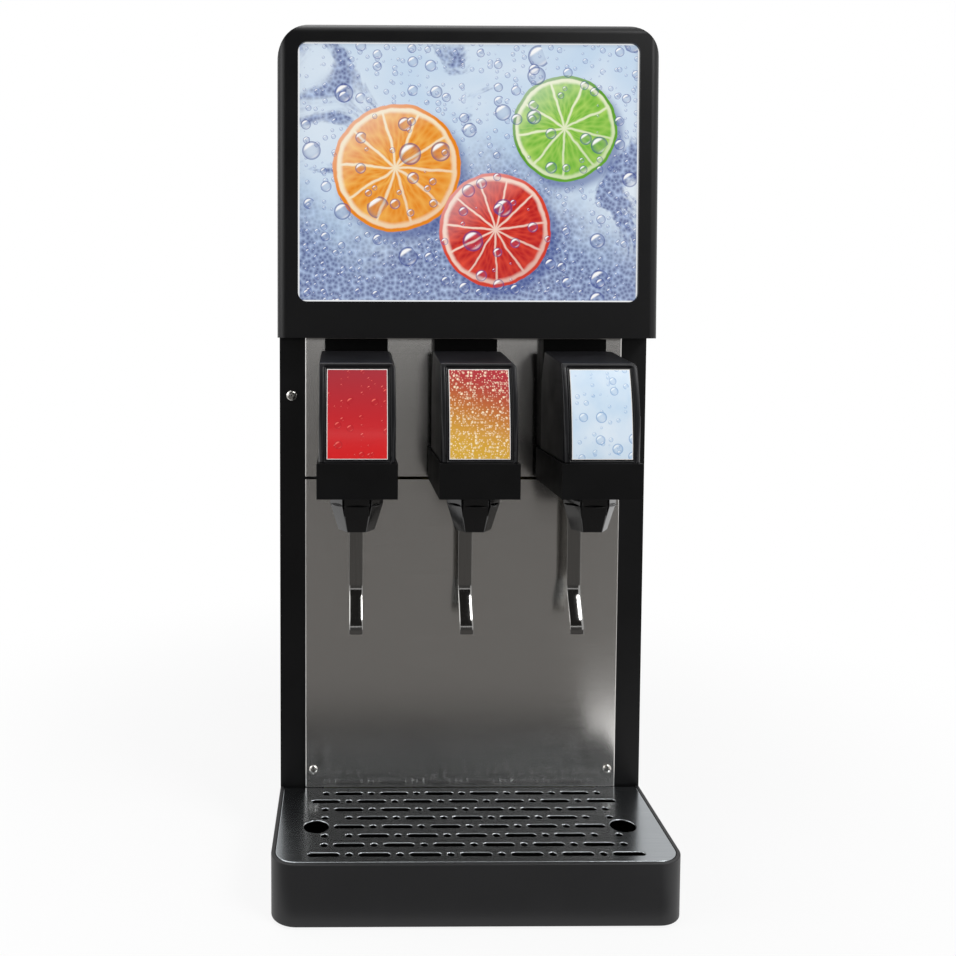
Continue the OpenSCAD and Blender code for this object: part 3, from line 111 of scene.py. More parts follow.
def flat_sheet(name, corners):
    """A stage sheet of one face, in metres."""
    mesh = bpy.data.meshes.new(name)
    mesh.from_pydata(corners, [], [tuple(range(len(corners)))])
    obj = bpy.data.objects.new(name, mesh)
    scene.collection.objects.link(obj)
    return obj


floor = flat_sheet("floor", [(-6, -6, 0), (6, -6, 0), (6, 6, 0), (-6, 6, 0)])
floor_paper = bpy.data.materials.new("white_floor_paper")
floor_paper.use_nodes = True
tree = floor_paper.node_tree
tree.nodes.clear()
paper = add(tree, "ShaderNodeBsdfDiffuse", {"Color": lin("#e8e8e8")})
lit = add(tree, "ShaderNodeEmission", {"Color": lin("#ffffff"), "Strength": 1.0})
ground = (add(tree, "ShaderNodeTexCoord"), "Object")
away = add(tree, "ShaderNodeVectorMath", {0: ground}, operation="LENGTH")
plain_white = add(tree, "ShaderNodeMapRange", {"Value": (away, "Value"), "From Min": 0.3,
                                               "From Max": 0.75, "To Min": 0.88, "To Max": 1.0},
                  interpolation_type="SMOOTHSTEP")
share = add(tree, "ShaderNodeMath", {0: seen_rays(tree), 1: plain_white}, operation="MULTIPLY")
both = add(tree, "ShaderNodeMixShader", {0: share, 1: paper, 2: lit})
add(tree, "ShaderNodeOutputMaterial", {"Surface": both})
floor.data.materials.append(floor_paper)

flag_near, flag_step, flag_far, flag_side, flag_z = -0.27, -0.42, -2.4, 1.6, 0.004
foot_left, foot_right, flag_mid, flag_gap, flag_top = -0.4, 0.17, 0.52, 0.68, 3.0
for name, tone, corners in (
        ("flag_foot", "#3c3b3a", [(foot_left, flag_step, flag_z), (foot_right, flag_step, flag_z),
                                  (foot_right, flag_near, flag_z), (foot_left, flag_near, flag_z)]),
        ("flag_low", "#6e6c6a", [(-flag_side, flag_far, flag_z), (flag_side, flag_far, flag_z),
                                 (flag_side, flag_step, flag_z), (-flag_side, flag_step, flag_z)]),
        ("flag_mid", "#5e5d5c", [(-flag_side, flag_far, flag_z), (flag_side, flag_far, flag_z),
                                 (flag_side, flag_far, flag_mid), (-flag_side, flag_far, flag_mid)]),
        ("flag_high", "#353433", [(-flag_side, flag_far, flag_gap), (flag_side, flag_far, flag_gap),
                                  (flag_side, flag_far, flag_top), (-flag_side, flag_far, flag_top)])):
    flag = flat_sheet(name, corners)
    card = bpy.data.materials.new(name + "_card")
    card.use_nodes = True
    card.node_tree.nodes.clear()
    grey = add(card.node_tree, "ShaderNodeEmission", {"Color": lin(tone), "Strength": 1.0})
    add(card.node_tree, "ShaderNodeOutputMaterial", {"Surface": grey})
    flag.data.materials.append(card)
    flag.visible_camera = flag.visible_diffuse = flag.visible_shadow = False
    flag.visible_transmission = flag.visible_volume_scatter = False

lamp_aim = Vector((0, -0.05, 0.35))
for name, place, size, power in (("key", (1.15, -1.35, 1.75), 0.8, 26),
                                 ("top", (-0.25, 0.15, 2.1), 1.2, 16),
                                 ("left", (-1.7, -0.7, 1.0), 1.0, 9)):
    lamp = bpy.data.objects.new("lamp_" + name, bpy.data.lights.new("lamp_" + name, "AREA"))
    lamp.data.size = size
    lamp.data.energy = power
    lamp.location = place
    lamp.rotation_euler = (lamp_aim - Vector(place)).to_track_quat("-Z", "Y").to_euler()
    scene.collection.objects.link(lamp)


# The cabinet: base plate, two side panels and the rear panel, folded from 1.2 mm sheet steel.
# Black powder coat, baked on: satin, with a fine orange peel and faint rubbed patches.
def surface(name, values):
    """A new material with its plain sockets set; gives its tree, shader and place too."""
    mat = bpy.data.materials.new(name)
    mat.use_nodes = True
    shader = mat.node_tree.nodes["Principled BSDF"]
    wire(mat.node_tree, shader, values)
    return mat, mat.node_tree, shader, (add(mat.node_tree, "ShaderNodeTexCoord"), "Object")


def powder_coat(name, colour, rubbed_colour, rough, peel_mm, gloss):
    """A baked coat: orange peel of a size in millimetres, and faint patches in tint and sheen."""
    mat, tree, shader, place = surface(name, {"Specular IOR Level": gloss})
    peel = add(tree, "ShaderNodeTexNoise", {"Vector": place, "Scale": 1000 / peel_mm, "Detail": 2.0})
    rubbed = add(tree, "ShaderNodeTexNoise", {"Vector": place, "Scale": 1000 / 55, "Detail": 6.0,
                                              "Roughness": 0.6})
    tint = add(tree, "ShaderNodeMix", {"Factor": rubbed, "A": lin(colour), "B": lin(rubbed_colour)},
               data_type="RGBA")
    sheen = add(tree, "ShaderNodeMapRange", {"Value": rubbed, "From Min": 0.3, "From Max": 0.7,
                                             "To Min": rough - 0.02, "To Max": rough + 0.02})
    bump = add(tree, "ShaderNodeBump", {"Height": peel, "Strength": 0.25, "Distance": 0.00005})
    wire(tree, shader, {"Base Color": tint, "Roughness": sheen, "Normal": bump})
    return mat


def dress(names, mat, edge=0.0, steps=2, clamp=True):
    """Give CAD nodes their material, and round their edges by a radius in metres.

    The clamp holds the radius back at short edges; it is off where holes and bows have many.
    """
    for name in names:
        obj = nodes[name]
        obj.data.materials.clear()
        obj.data.materials.append(mat)
        if not edge:
            continue
        weld = obj.modifiers.new("joined", "WELD")
        weld.merge_threshold = 1e-5
        plain = obj.modifiers.new("plain_faces", "DECIMATE")
        plain.decimate_type = "DISSOLVE"
        plain.angle_limit = math.radians(0.3)
        rounded = obj.modifiers.new("rounded_edges", "BEVEL")
        rounded.width = edge
        rounded.segments = steps
        rounded.limit_method = "ANGLE"
        rounded.angle_limit = math.radians(35)
        rounded.miter_outer = "MITER_ARC"
        rounded.use_clamp_overlap = clamp
        smooth = obj.modifiers.new("even_shading", "WEIGHTED_NORMAL")
        smooth.weight = 100


sheet_black = powder_coat("powder_coated_sheet_steel", "#0b0b0c", "#0f0f10", 0.42, 0.9, 0.26)
dress(["base_plate", "side_panel_left", "side_panel_right", "rear_panel", "machine_deck"],
      sheet_black, 0.0006)

# The feet: four turned rubber pads under the corners, glued on.
# Black rubber, matt, with moulding bloom in patches.
mat, tree, shader, place = surface("moulded_rubber", {"Specular IOR Level": 0.3})
bloom = add(tree, "ShaderNodeTexNoise", {"Vector": place, "Scale": 1000 / 6, "Detail": 5.0})
tint = add(tree, "ShaderNodeMix", {"Factor": bloom, "A": lin("#141414"), "B": lin("#2a2a2a")},
           data_type="RGBA")
bump = add(tree, "ShaderNodeBump", {"Height": bloom, "Strength": 0.2, "Distance": 0.0001})
wire(tree, shader, {"Base Color": tint, "Normal": bump, "Roughness": 0.8})
dress(["feet"], mat, 0.0004)
dress(["drain_tube"], mat, 0.0003)


# The two steel front sheets, hung on the columns' seats with the split under the taps.
# Stainless steel, brushed from side to side: long fine strokes that stretch every reflection.
def brushed_steel(name, colour, dull_colour, rough, stretch):
    """Metal with fine strokes, stretched per axis, and a haze that clouds its sheen."""
    mat, tree, shader, place = surface(name, {"Metallic": 1.0})
    strokes_at = add(tree, "ShaderNodeMapping", {"Vector": place, "Scale": stretch})
    strokes = add(tree, "ShaderNodeTexNoise", {"Vector": strokes_at, "Scale": 1.0, "Detail": 6.0,
                                               "Roughness": 0.62})
    haze = add(tree, "ShaderNodeTexNoise", {"Vector": place, "Scale": 1000 / 70, "Detail": 4.0})
    tint = add(tree, "ShaderNodeMix", {"Factor": strokes, "A": lin(dull_colour), "B": lin(colour)},
               data_type="RGBA")
    sheen = add(tree, "ShaderNodeMath", {0: strokes, 1: 0.1, 2: rough - 0.08},
                operation="MULTIPLY_ADD")
    clouded = add(tree, "ShaderNodeMath", {0: haze, 1: 0.06, 2: sheen}, operation="MULTIPLY_ADD")
    bump = add(tree, "ShaderNodeBump", {"Height": strokes, "Strength": 0.15, "Distance": 0.00004})
    wire(tree, shader, {"Base Color": tint, "Roughness": clouded, "Normal": bump})
    return mat


stroke_long, stroke_wide = 1000 / 60, 1000 / 0.8
panel_steel = brushed_steel("brushed_stainless_front", "#f3f1ee", "#d9d7d4", 0.18,
                            (stroke_long, stroke_wide, stroke_wide))
groove_pull = 0.75  # the strokes run across, so they draw reflections out upwards
tree = panel_steel.node_tree
grooves = add(tree, "ShaderNodeTangent", direction_type="RADIAL", axis="X")
wire(tree, tree.nodes["Principled BSDF"], {"Anisotropic": groove_pull, "Tangent": grooves})
dress(["lower_panel", "upper_panel"], panel_steel, 0.0006)

# The head: one moulded hood over the cabinet's top, with a rounded rim and the light box's window.
# Black paint on a moulded shell, smoother than the sheet metal, so its rim carries a soft line.
head_black = powder_coat("satin_painted_hood", "#0b0b0c", "#0f0f10", 0.36, 0.7, 0.28)
dress(["head_shell"], head_black, 0.0008, 3)

# The window's print: a back-lit acrylic panel behind the opening, printed on its rear face.
# Generic art: slices of fruit and bubbles in pale blue water; its glow is painted light, its own
# emission in place of the lamps behind.
window_mid_z, window_half_w, window_half_h, bare_rim = 0.57075, 0.138, 0.10425, 0.0012
mat, tree, shader, place = surface("painted_glow_printed_acrylic", {
    "Roughness": 0.22, "Emission Strength": 0.72, "Coat Weight": 0.3, "Coat Roughness": 0.08})
apart = add(tree, "ShaderNodeSeparateXYZ", {"Vector": place})
rise = add(tree, "ShaderNodeMath", {0: (apart, "Z"), 1: window_mid_z}, operation="SUBTRACT")
print_at = add(tree, "ShaderNodeCombineXYZ", {"X": (apart, "X"), "Y": rise})


def bubble_layer(tree, under, at, cell_mm, seed, lowest, rim_colour, gleam_colour):
    """Clear bubbles over a colour, one or none in each cell: a dark rim and a gleam."""
    moved = add(tree, "ShaderNodeMapping", {"Vector": at, "Location": (seed, seed * 0.37, 0)})
    cells = add(tree, "ShaderNodeTexVoronoi", {"Vector": moved, "Scale": 1000 / cell_mm,
                                               "Randomness": 0.8}, voronoi_dimensions="2D")
    dice = add(tree, "ShaderNodeSeparateColor", {"Color": (cells, "Color")})
    size = add(tree, "ShaderNodeMapRange", {"Value": (dice, "Red"), "From Min": lowest,
                                            "From Max": 1.0, "To Min": 0.04, "To Max": 0.36})
    part = add(tree, "ShaderNodeMath", {0: (cells, "Distance"), 1: size}, operation="DIVIDE")
    inside = add(tree, "ShaderNodeMapRange", {"Value": part, "From Min": 1.0, "From Max": 0.92},
                 interpolation_type="SMOOTHSTEP")
    shown = add(tree, "ShaderNodeMath", {0: (dice, "Red"), 1: lowest}, operation="GREATER_THAN")
    mask = add(tree, "ShaderNodeMath", {0: inside, 1: shown}, operation="MULTIPLY")
    spot = add(tree, "ShaderNodeVectorMath", {0: moved, 1: (cells, "Position")},
               operation="SUBTRACT")
    turned = add(tree, "ShaderNodeVectorMath", {0: spot, 1: (-0.55, 0.83, 0)},
                 operation="DOT_PRODUCT")
    lean = add(tree, "ShaderNodeMath", {0: (turned, "Value"), 1: 1000 / cell_mm},
               operation="MULTIPLY")
    tilt = add(tree, "ShaderNodeMath", {0: lean, 1: size}, operation="DIVIDE")
    ring = add(tree, "ShaderNodeMath", {0: part, 1: 4.0}, operation="POWER", use_clamp=True)
    veil = add(tree, "ShaderNodeMath", {0: ring, 1: 0.75, 2: 0.12}, operation="MULTIPLY_ADD")
    rim = add(tree, "ShaderNodeMath", {0: veil, 1: mask}, operation="MULTIPLY")
    ball = add(tree, "ShaderNodeMix", {"Factor": rim, "A": under, "B": lin(rim_colour)},
               data_type="RGBA")
    above = add(tree, "ShaderNodeMapRange", {"Value": tilt, "From Min": 0.3, "From Max": 0.55},
                interpolation_type="SMOOTHSTEP")
    below = add(tree, "ShaderNodeMapRange", {"Value": tilt, "From Min": -0.45, "From Max": -0.8,
                                             "To Max": 0.55}, interpolation_type="SMOOTHSTEP")
    both = add(tree, "ShaderNodeMath", {0: above, 1: below}, operation="MAXIMUM")
    within = add(tree, "ShaderNodeMapRange", {"Value": part, "From Min": 0.86, "From Max": 0.7},
                 interpolation_type="SMOOTHSTEP")
    lit = add(tree, "ShaderNodeMath", {0: both, 1: within}, operation="MULTIPLY")
    gleam = add(tree, "ShaderNodeMath", {0: lit, 1: mask}, operation="MULTIPLY")
    return add(tree, "ShaderNodeMix", {"Factor": gleam, "A": ball, "B": lin(gleam_colour)},
               data_type="RGBA")


def fruit_slice(tree, under, at, middle, radius, segments, turn, rind, pith, flesh, juice):
    """A cut of fruit in the water: its shadow, uneven rind and pith, and wedges of pulpy flesh."""
    wobble = add(tree, "ShaderNodeTexNoise", {"Vector": at, "Scale": 1000 / 24, "Detail": 3.0})
    aside = add(tree, "ShaderNodeMapping", {"Vector": (wobble, "Color"), "Scale": (0.006,) * 3,
                                            "Location": (-0.003 - middle[0], -0.003 - middle[1], 0)})
    local = add(tree, "ShaderNodeVectorMath", {0: at, 1: aside}, operation="ADD")
    split = add(tree, "ShaderNodeSeparateXYZ", {"Vector": local})
    level = add(tree, "ShaderNodeCombineXYZ", {"X": (split, "X"), "Y": (split, "Y")})
    out = add(tree, "ShaderNodeVectorMath", {0: level}, operation="LENGTH")
    ring = add(tree, "ShaderNodeMath", {0: (out, "Value"), 1: radius}, operation="DIVIDE")
    round_it = add(tree, "ShaderNodeMath", {0: (split, "Y"), 1: (split, "X")}, operation="ARCTAN2")
    wedge = add(tree, "ShaderNodeMath", {0: round_it, 1: segments / math.tau, 2: turn},
                operation="MULTIPLY_ADD")
    wave = add(tree, "ShaderNodeMath", {0: wedge, 1: 0.5}, operation="PINGPONG")
    skin = add(tree, "ShaderNodeMath", {0: wave, 1: ring}, operation="MULTIPLY")
    in_wedge = add(tree, "ShaderNodeMapRange", {"Value": skin, "From Min": 0.008, "From Max": 0.05},
                   interpolation_type="SMOOTHSTEP")
    in_ring = add(tree, "ShaderNodeMapRange", {"Value": ring, "From Min": 0.9, "From Max": 0.83},
                  interpolation_type="SMOOTHSTEP")
    fleshy = add(tree, "ShaderNodeMath", {0: in_wedge, 1: in_ring}, operation="MULTIPLY")
    polar = add(tree, "ShaderNodeCombineXYZ", {"X": wedge, "Y": ring})
    pulp_at = add(tree, "ShaderNodeMapping", {"Vector": polar, "Scale": (5, 5, 1)})
    pulp = add(tree, "ShaderNodeTexVoronoi", {"Vector": pulp_at, "Scale": 1.0},
               voronoi_dimensions="2D")
    meat = add(tree, "ShaderNodeMix", {"Factor": (pulp, "Distance"), "A": lin(juice),
                                       "B": lin(flesh)}, data_type="RGBA")
    body = add(tree, "ShaderNodeMix", {"Factor": fleshy, "A": lin(pith), "B": meat},
               data_type="RGBA")
    peel = add(tree, "ShaderNodeMapRange", {"Value": ring, "From Min": 0.92, "From Max": 0.95},
               interpolation_type="SMOOTHSTEP")
    whole = add(tree, "ShaderNodeMix", {"Factor": peel, "A": body, "B": lin(rind)},
                data_type="RGBA")
    slant = add(tree, "ShaderNodeVectorMath", {0: level, 1: (0.6 / radius, -0.8 / radius, 0)},
                operation="DOT_PRODUCT")
    shade = add(tree, "ShaderNodeMapRange", {"Value": (slant, "Value"), "From Min": -0.3,
                                             "From Max": 1.1, "To Max": 0.4})
    shaded = add(tree, "ShaderNodeMix", {"Factor": shade, "A": whole, "B": lin(juice)},
                 data_type="RGBA")
    glow = add(tree, "ShaderNodeMapRange", {"Value": (slant, "Value"), "From Min": -0.2,
                                            "From Max": -1.0, "To Max": 0.3})
    bright = add(tree, "ShaderNodeMix", {"Factor": glow, "A": shaded, "B": lin("#ffffff")},
                 data_type="RGBA")
    below = add(tree, "ShaderNodeVectorMath", {0: level, 1: (-0.1 * radius, 0.13 * radius, 0)},
                operation="ADD")
    far = add(tree, "ShaderNodeVectorMath", {0: below}, operation="LENGTH")
    cast = add(tree, "ShaderNodeMapRange", {"Value": (far, "Value"), "From Min": 1.12 * radius,
                                            "From Max": 0.9 * radius, "To Max": 0.6},
               interpolation_type="SMOOTHSTEP")
    dimmed = add(tree, "ShaderNodeMix", {"Factor": cast, "A": under, "B": lin("#2b4390")},
                 data_type="RGBA")
    inside = add(tree, "ShaderNodeMapRange", {"Value": ring, "From Min": 1.0, "From Max": 0.985},
                 interpolation_type="SMOOTHSTEP")
    return add(tree, "ShaderNodeMix", {"Factor": inside, "A": dimmed, "B": bright},
               data_type="RGBA")


drift = add(tree, "ShaderNodeTexNoise", {"Vector": print_at, "Scale": 1000 / 90, "Detail": 3.0,
                                         "Distortion": 0.6})
water = add(tree, "ShaderNodeMix", {"Factor": drift, "A": lin("#a2c6e8"), "B": lin("#f6fafc")},
            data_type="RGBA")
swell_at = add(tree, "ShaderNodeMath", {0: (apart, "X"), 1: math.tau / 0.21, 2: 0.9},
               operation="MULTIPLY_ADD")
swell = add(tree, "ShaderNodeMath", {0: swell_at}, operation="SINE")
crest = add(tree, "ShaderNodeMath", {0: swell, 1: 0.034, 2: -0.036}, operation="MULTIPLY_ADD")
ripple = add(tree, "ShaderNodeTexNoise", {"Vector": print_at, "Scale": 1000 / 22, "Detail": 4.0})
rough_crest = add(tree, "ShaderNodeMath", {0: ripple, 1: 0.05, 2: crest}, operation="MULTIPLY_ADD")
height = add(tree, "ShaderNodeMath", {0: rise, 1: rough_crest}, operation="SUBTRACT")
deep = add(tree, "ShaderNodeMapRange", {"Value": height, "From Min": 0.024, "From Max": -0.05},
           interpolation_type="SMOOTHSTEP")
swath = add(tree, "ShaderNodeTexNoise", {"Vector": print_at, "Scale": 1000 / 80, "Detail": 5.0,
                                         "Roughness": 0.6, "Distortion": 1.2})
streak = add(tree, "ShaderNodeMapRange", {"Value": swath, "From Min": 0.53, "From Max": 0.62},
             interpolation_type="SMOOTHSTEP")
dark = add(tree, "ShaderNodeMath", {0: deep, 1: streak}, operation="MAXIMUM")
froth = add(tree, "ShaderNodeTexVoronoi", {"Vector": print_at, "Scale": 1000 / 3.5},
            voronoi_dimensions="2D")
indigo = add(tree, "ShaderNodeMix", {"Factor": (froth, "Distance"), "A": lin("#1d2c78"),
                                     "B": lin("#b4c9ee")}, data_type="RGBA")
depth = add(tree, "ShaderNodeMath", {0: dark, 1: 0.85}, operation="MULTIPLY")
art = add(tree, "ShaderNodeMix", {"Factor": depth, "A": water, "B": indigo}, data_type="RGBA")
art = bubble_layer(tree, art, print_at, 7, 0.31, 0.3, "#3f5aa8", "#f4f8ff")
art = fruit_slice(tree, art, print_at, (0.078, 0.036), 0.043, 9, 0.3,
                  "#5f9e2c", "#eef3cf", "#b6dc6a", "#74b83c")
art = fruit_slice(tree, art, print_at, (-0.058, 0.004), 0.052, 10, 0.1,
                  "#ee8a1c", "#fbeccb", "#fbc05e", "#ea8a20")
art = fruit_slice(tree, art, print_at, (0.022, -0.046), 0.046, 11, 0.7,
                  "#e0472e", "#fbdccb", "#ee5038", "#b8161c")
art = bubble_layer(tree, art, print_at, 26, 0.12, 0.5, "#2b3f90", "#ffffff")
art = bubble_layer(tree, art, print_at, 14, 0.77, 0.55, "#33489a", "#ffffff")
rim_x = add(tree, "ShaderNodeMath", {0: (apart, "X")}, operation="ABSOLUTE")
rim_z = add(tree, "ShaderNodeMath", {0: rise}, operation="ABSOLUTE")
out_x = add(tree, "ShaderNodeMath", {0: rim_x, 1: window_half_w - bare_rim},
            operation="GREATER_THAN")
out_z = add(tree, "ShaderNodeMath", {0: rim_z, 1: window_half_h - bare_rim},
            operation="GREATER_THAN")
bare = add(tree, "ShaderNodeMath", {0: out_x, 1: out_z}, operation="MAXIMUM")
art = add(tree, "ShaderNodeMix", {"Factor": bare, "A": art, "B": lin("#f6f8fa")}, data_type="RGBA")
dim = add(tree, "ShaderNodeMix", {"Factor": 0.75, "A": art, "B": lin("#000000")}, data_type="RGBA")
wire(tree, shader, {"Base Color": dim, "Emission Color": art})
dress(["window_panel"], mat)


# The light box behind the print, and its five boards of white lamps.
# White moulded plastic, slightly grained; bare boards with a row of chips on them.
def moulded(name, colour, worn_colour, rough, grain_mm, level=0.5):
    """Moulded plastic or lacquer: a fine spark-eroded grain and a little unevenness in the sheen."""
    mat, tree, shader, place = surface(name, {"Specular IOR Level": level})
    grain = add(tree, "ShaderNodeTexNoise", {"Vector": place, "Scale": 1000 / grain_mm,
                                             "Detail": 3.0, "Roughness": 0.6})
    cloud = add(tree, "ShaderNodeTexNoise", {"Vector": place, "Scale": 1000 / 25, "Detail": 5.0})
    tint = add(tree, "ShaderNodeMix", {"Factor": cloud, "A": lin(colour), "B": lin(worn_colour)},
               data_type="RGBA")
    sheen = add(tree, "ShaderNodeMapRange", {"Value": cloud, "From Min": 0.3, "From Max": 0.7,
                                             "To Min": rough - 0.04, "To Max": rough + 0.05})
    bump = add(tree, "ShaderNodeBump", {"Height": grain, "Strength": 0.3, "Distance": 0.00004})
    wire(tree, shader, {"Base Color": tint, "Roughness": sheen, "Normal": bump})
    return mat


dress(["light_box"], moulded("white_lamp_housing", "#eeeeec", "#e2e2e0", 0.5, 0.6), 0.0003)
mat, tree, shader, place = surface("lamp_board", {"Roughness": 0.4})
chips = add(tree, "ShaderNodeTexBrick", {"Vector": place, "Scale": 1000 / 12, "Mortar Size": 0.3,
                                         "Color1": lin("#f7f1c8"), "Color2": lin("#f3ecbe"),
                                         "Mortar": lin("#e9ebe6")})
wire(tree, shader, {"Base Color": chips})
dress(["led_boards"], mat)

# The drip base: the black box in front of the cabinet that carries the pan and the cover.
# Dark grey-black coat, a little rougher and lighter than the cabinet's, with faint rubbed patches.
base_black = powder_coat("drip_base_coat", "#262627", "#2b2b2c", 0.46, 1.1, 0.3)
dress(["drip_base"], base_black, 0.0009, 3)

# The drip pan under the cover: pressed from thin stainless sheet, its flange on the base's ledge.
# Dull rolled steel, darkened as painted shade under the cover, so that the slots over it read black.
pan_steel = brushed_steel("shade_darkened_stainless_pan", "#262524", "#161615", 0.6,
                          (1000 / 40, 1000 / 1.5, 1000 / 1.5))
dress(["drip_pan"], pan_steel)

# The drip cover: a loose stainless plate, punched with slots and holes and two finger holes.
# Brushed from side to side; the punch leaves a rolled edge that catches the light.
cover_steel = brushed_steel("brushed_stainless_cover", "#aeb2b5", "#8f9396", 0.21,
                            (stroke_long, stroke_wide, stroke_wide))
dress(["drip_cover"], cover_steel, 0.0007, 3, clamp=False)

# The taps' bodies and covers: moulded halves that close over the valve block.
# Black ABS with a fine spark-eroded grain, satin on the covers and duller below.
body_abs = moulded("grained_black_abs_body", "#0a0a0a", "#0e0e0f", 0.5, 0.8, 0.14)
cover_abs = moulded("satin_black_abs_cover", "#101012", "#161619", 0.34, 0.6, 0.3)
sides = ("left", "middle", "right")
tap_x = {"left": -0.0905, "middle": 0.0, "right": 0.0905}
dress(["tap_body_" + side for side in sides], body_abs, 0.0008)
dress(["tap_cover_" + side for side in sides], cover_abs, 0.0011, 3, clamp=False)

# The labels: a bowed card of gloss film in each cover's recess, with its own plain generic print.
# One red with a few rising bubbles, one orange to red with specks, one pale blue with bubbles.
label_mid_z, label_half_w, label_half_h, film_edge = 0.3815, 0.0225, 0.033, 0.0005


def label_film(side):
    """The film's tree, shader, its place from the label's middle, and that place taken apart."""
    mat, tree, shader, place = surface("gloss_film_" + side, {
        "Roughness": 0.24, "Coat Weight": 0.25, "Coat Roughness": 0.1})
    middle = add(tree, "ShaderNodeMapping", {"Vector": place,
                                             "Location": (-tap_x[side], 0, -label_mid_z)})
    apart = add(tree, "ShaderNodeSeparateXYZ", {"Vector": middle})
    flat = add(tree, "ShaderNodeCombineXYZ", {"X": (apart, "X"), "Y": (apart, "Z")})
    return mat, tree, shader, flat, apart


def white_cut_edge(tree, art, apart):
    """The film's cut edge shows as a thin white line."""
    beyond = []
    for axis, half in (("X", label_half_w), ("Z", label_half_h)):
        away = add(tree, "ShaderNodeMath", {0: (apart, axis)}, operation="ABSOLUTE")
        beyond.append(add(tree, "ShaderNodeMath", {0: away, 1: half - film_edge},
                          operation="GREATER_THAN"))
    rim = add(tree, "ShaderNodeMath", {0: beyond[0], 1: beyond[1]}, operation="MAXIMUM")
    return add(tree, "ShaderNodeMix", {"Factor": rim, "A": art, "B": lin("#e9e6e2")},
               data_type="RGBA")


mat, tree, shader, flat, apart = label_film("left")
fade = add(tree, "ShaderNodeMapRange", {"Value": (apart, "Z"), "From Min": -label_half_h,
                                        "From Max": label_half_h})
art = add(tree, "ShaderNodeMix", {"Factor": fade, "A": lin("#e01a1c"), "B": lin("#a8323c")},
          data_type="RGBA")
art = bubble_layer(tree, art, flat, 9, 0.21, 0.6, "#b31a24", "#ef6a62")
art = bubble_layer(tree, art, flat, 5, 0.53, 0.72, "#b81c26", "#f08078")
wire(tree, shader, {"Base Color": white_cut_edge(tree, art, apart)})
dress(["tap_label_left"], mat)

mat, tree, shader, flat, apart = label_film("middle")
slope = add(tree, "ShaderNodeVectorMath", {0: flat, 1: (4.0, 14.0, 0)}, operation="DOT_PRODUCT")
fade = add(tree, "ShaderNodeMapRange", {"Value": (slope, "Value"), "From Min": -0.5,
                                        "From Max": 0.45}, interpolation_type="SMOOTHSTEP")
art = add(tree, "ShaderNodeMix", {"Factor": fade, "A": lin("#dfae38"), "B": lin("#b3303a")},
          data_type="RGBA")
for speck_mm, thin in ((1.5, 0.45), (2.6, 0.6)):
    fizz = add(tree, "ShaderNodeTexVoronoi", {"Vector": flat, "Scale": 1000 / speck_mm},
               voronoi_dimensions="2D")
    dice = add(tree, "ShaderNodeSeparateColor", {"Color": (fizz, "Color")})
    dot = add(tree, "ShaderNodeMapRange", {"Value": (fizz, "Distance"), "From Min": 0.4,
                                           "From Max": 0.22})
    some = add(tree, "ShaderNodeMath", {0: (dice, "Green"), 1: thin}, operation="GREATER_THAN")
    glow = add(tree, "ShaderNodeMath", {0: dot, 1: some}, operation="MULTIPLY")
    part = add(tree, "ShaderNodeMath", {0: glow, 1: (dice, "Red")}, operation="MULTIPLY")
    art = add(tree, "ShaderNodeMix", {"Factor": part, "A": art, "B": lin("#fff1d2")},
              data_type="RGBA")
wire(tree, shader, {"Base Color": white_cut_edge(tree, art, apart)})
dress(["tap_label_middle"], mat)

mat, tree, shader, flat, apart = label_film("right")
haze = add(tree, "ShaderNodeTexNoise", {"Vector": flat, "Scale": 1000 / 30, "Detail": 3.0})
art = add(tree, "ShaderNodeMix", {"Factor": haze, "A": lin("#a9cdea"), "B": lin("#f3f7fa")},
          data_type="RGBA")
art = bubble_layer(tree, art, flat, 12, 0.43, 0.35, "#3f86c4", "#eef6fc")
art = bubble_layer(tree, art, flat, 6, 0.91, 0.5, "#4d92cc", "#f6fafd")
wire(tree, shader, {"Base Color": white_cut_edge(tree, art, apart)})
dress(["tap_label_right"], mat)

# The nozzles: six-sided grips that twist out of the taps for cleaning, moulded in one piece.
# Polished black plastic, so that each flat is a dark or a bright stripe.
nozzle_gloss = moulded("polished_black_plastic", "#09090a", "#0d0d0f", 0.1, 4.0, 0.6)
dress(["nozzle_" + side for side in sides], nozzle_gloss, 0.0005, 3)

# The levers: a strip of stainless steel for each tap, bent twice, pushed back by the cup.
# Rolled to an oval and polished along its length; the bends are rounded and carry bright glints.
lever_steel = brushed_steel("polished_stainless_strip", "#a3a2a0", "#8b8a88", 0.1,
                            (1000 / 0.9, 1000 / 0.9, 1000 / 40))


def size_tree(name, sizes):
    """A geometry tree with a guide mesh and named sizes as inputs, in metres."""
    tree = bpy.data.node_groups.new(name, "GeometryNodeTree")
    tree.interface.new_socket("Guide", in_out="INPUT", socket_type="NodeSocketGeometry")
    for label, value in sizes.items():
        kind = "NodeSocketVector" if isinstance(value, tuple) else "NodeSocketFloat"
        tree.interface.new_socket(label, in_out="INPUT", socket_type=kind)
    tree.interface.new_socket("Piece", in_out="OUTPUT", socket_type="NodeSocketGeometry")
    return tree, add(tree, "NodeGroupInput")


def finish_tree(tree, shape, mat):
    """Every tree ends alike: real faces, with their material."""
    real = add(tree, "GeometryNodeRealizeInstances", {"Geometry": shape})
    painted = add(tree, "GeometryNodeSetMaterial", {"Geometry": real, "Material": mat})
    add(tree, "NodeGroupOutput", {"Piece": painted})


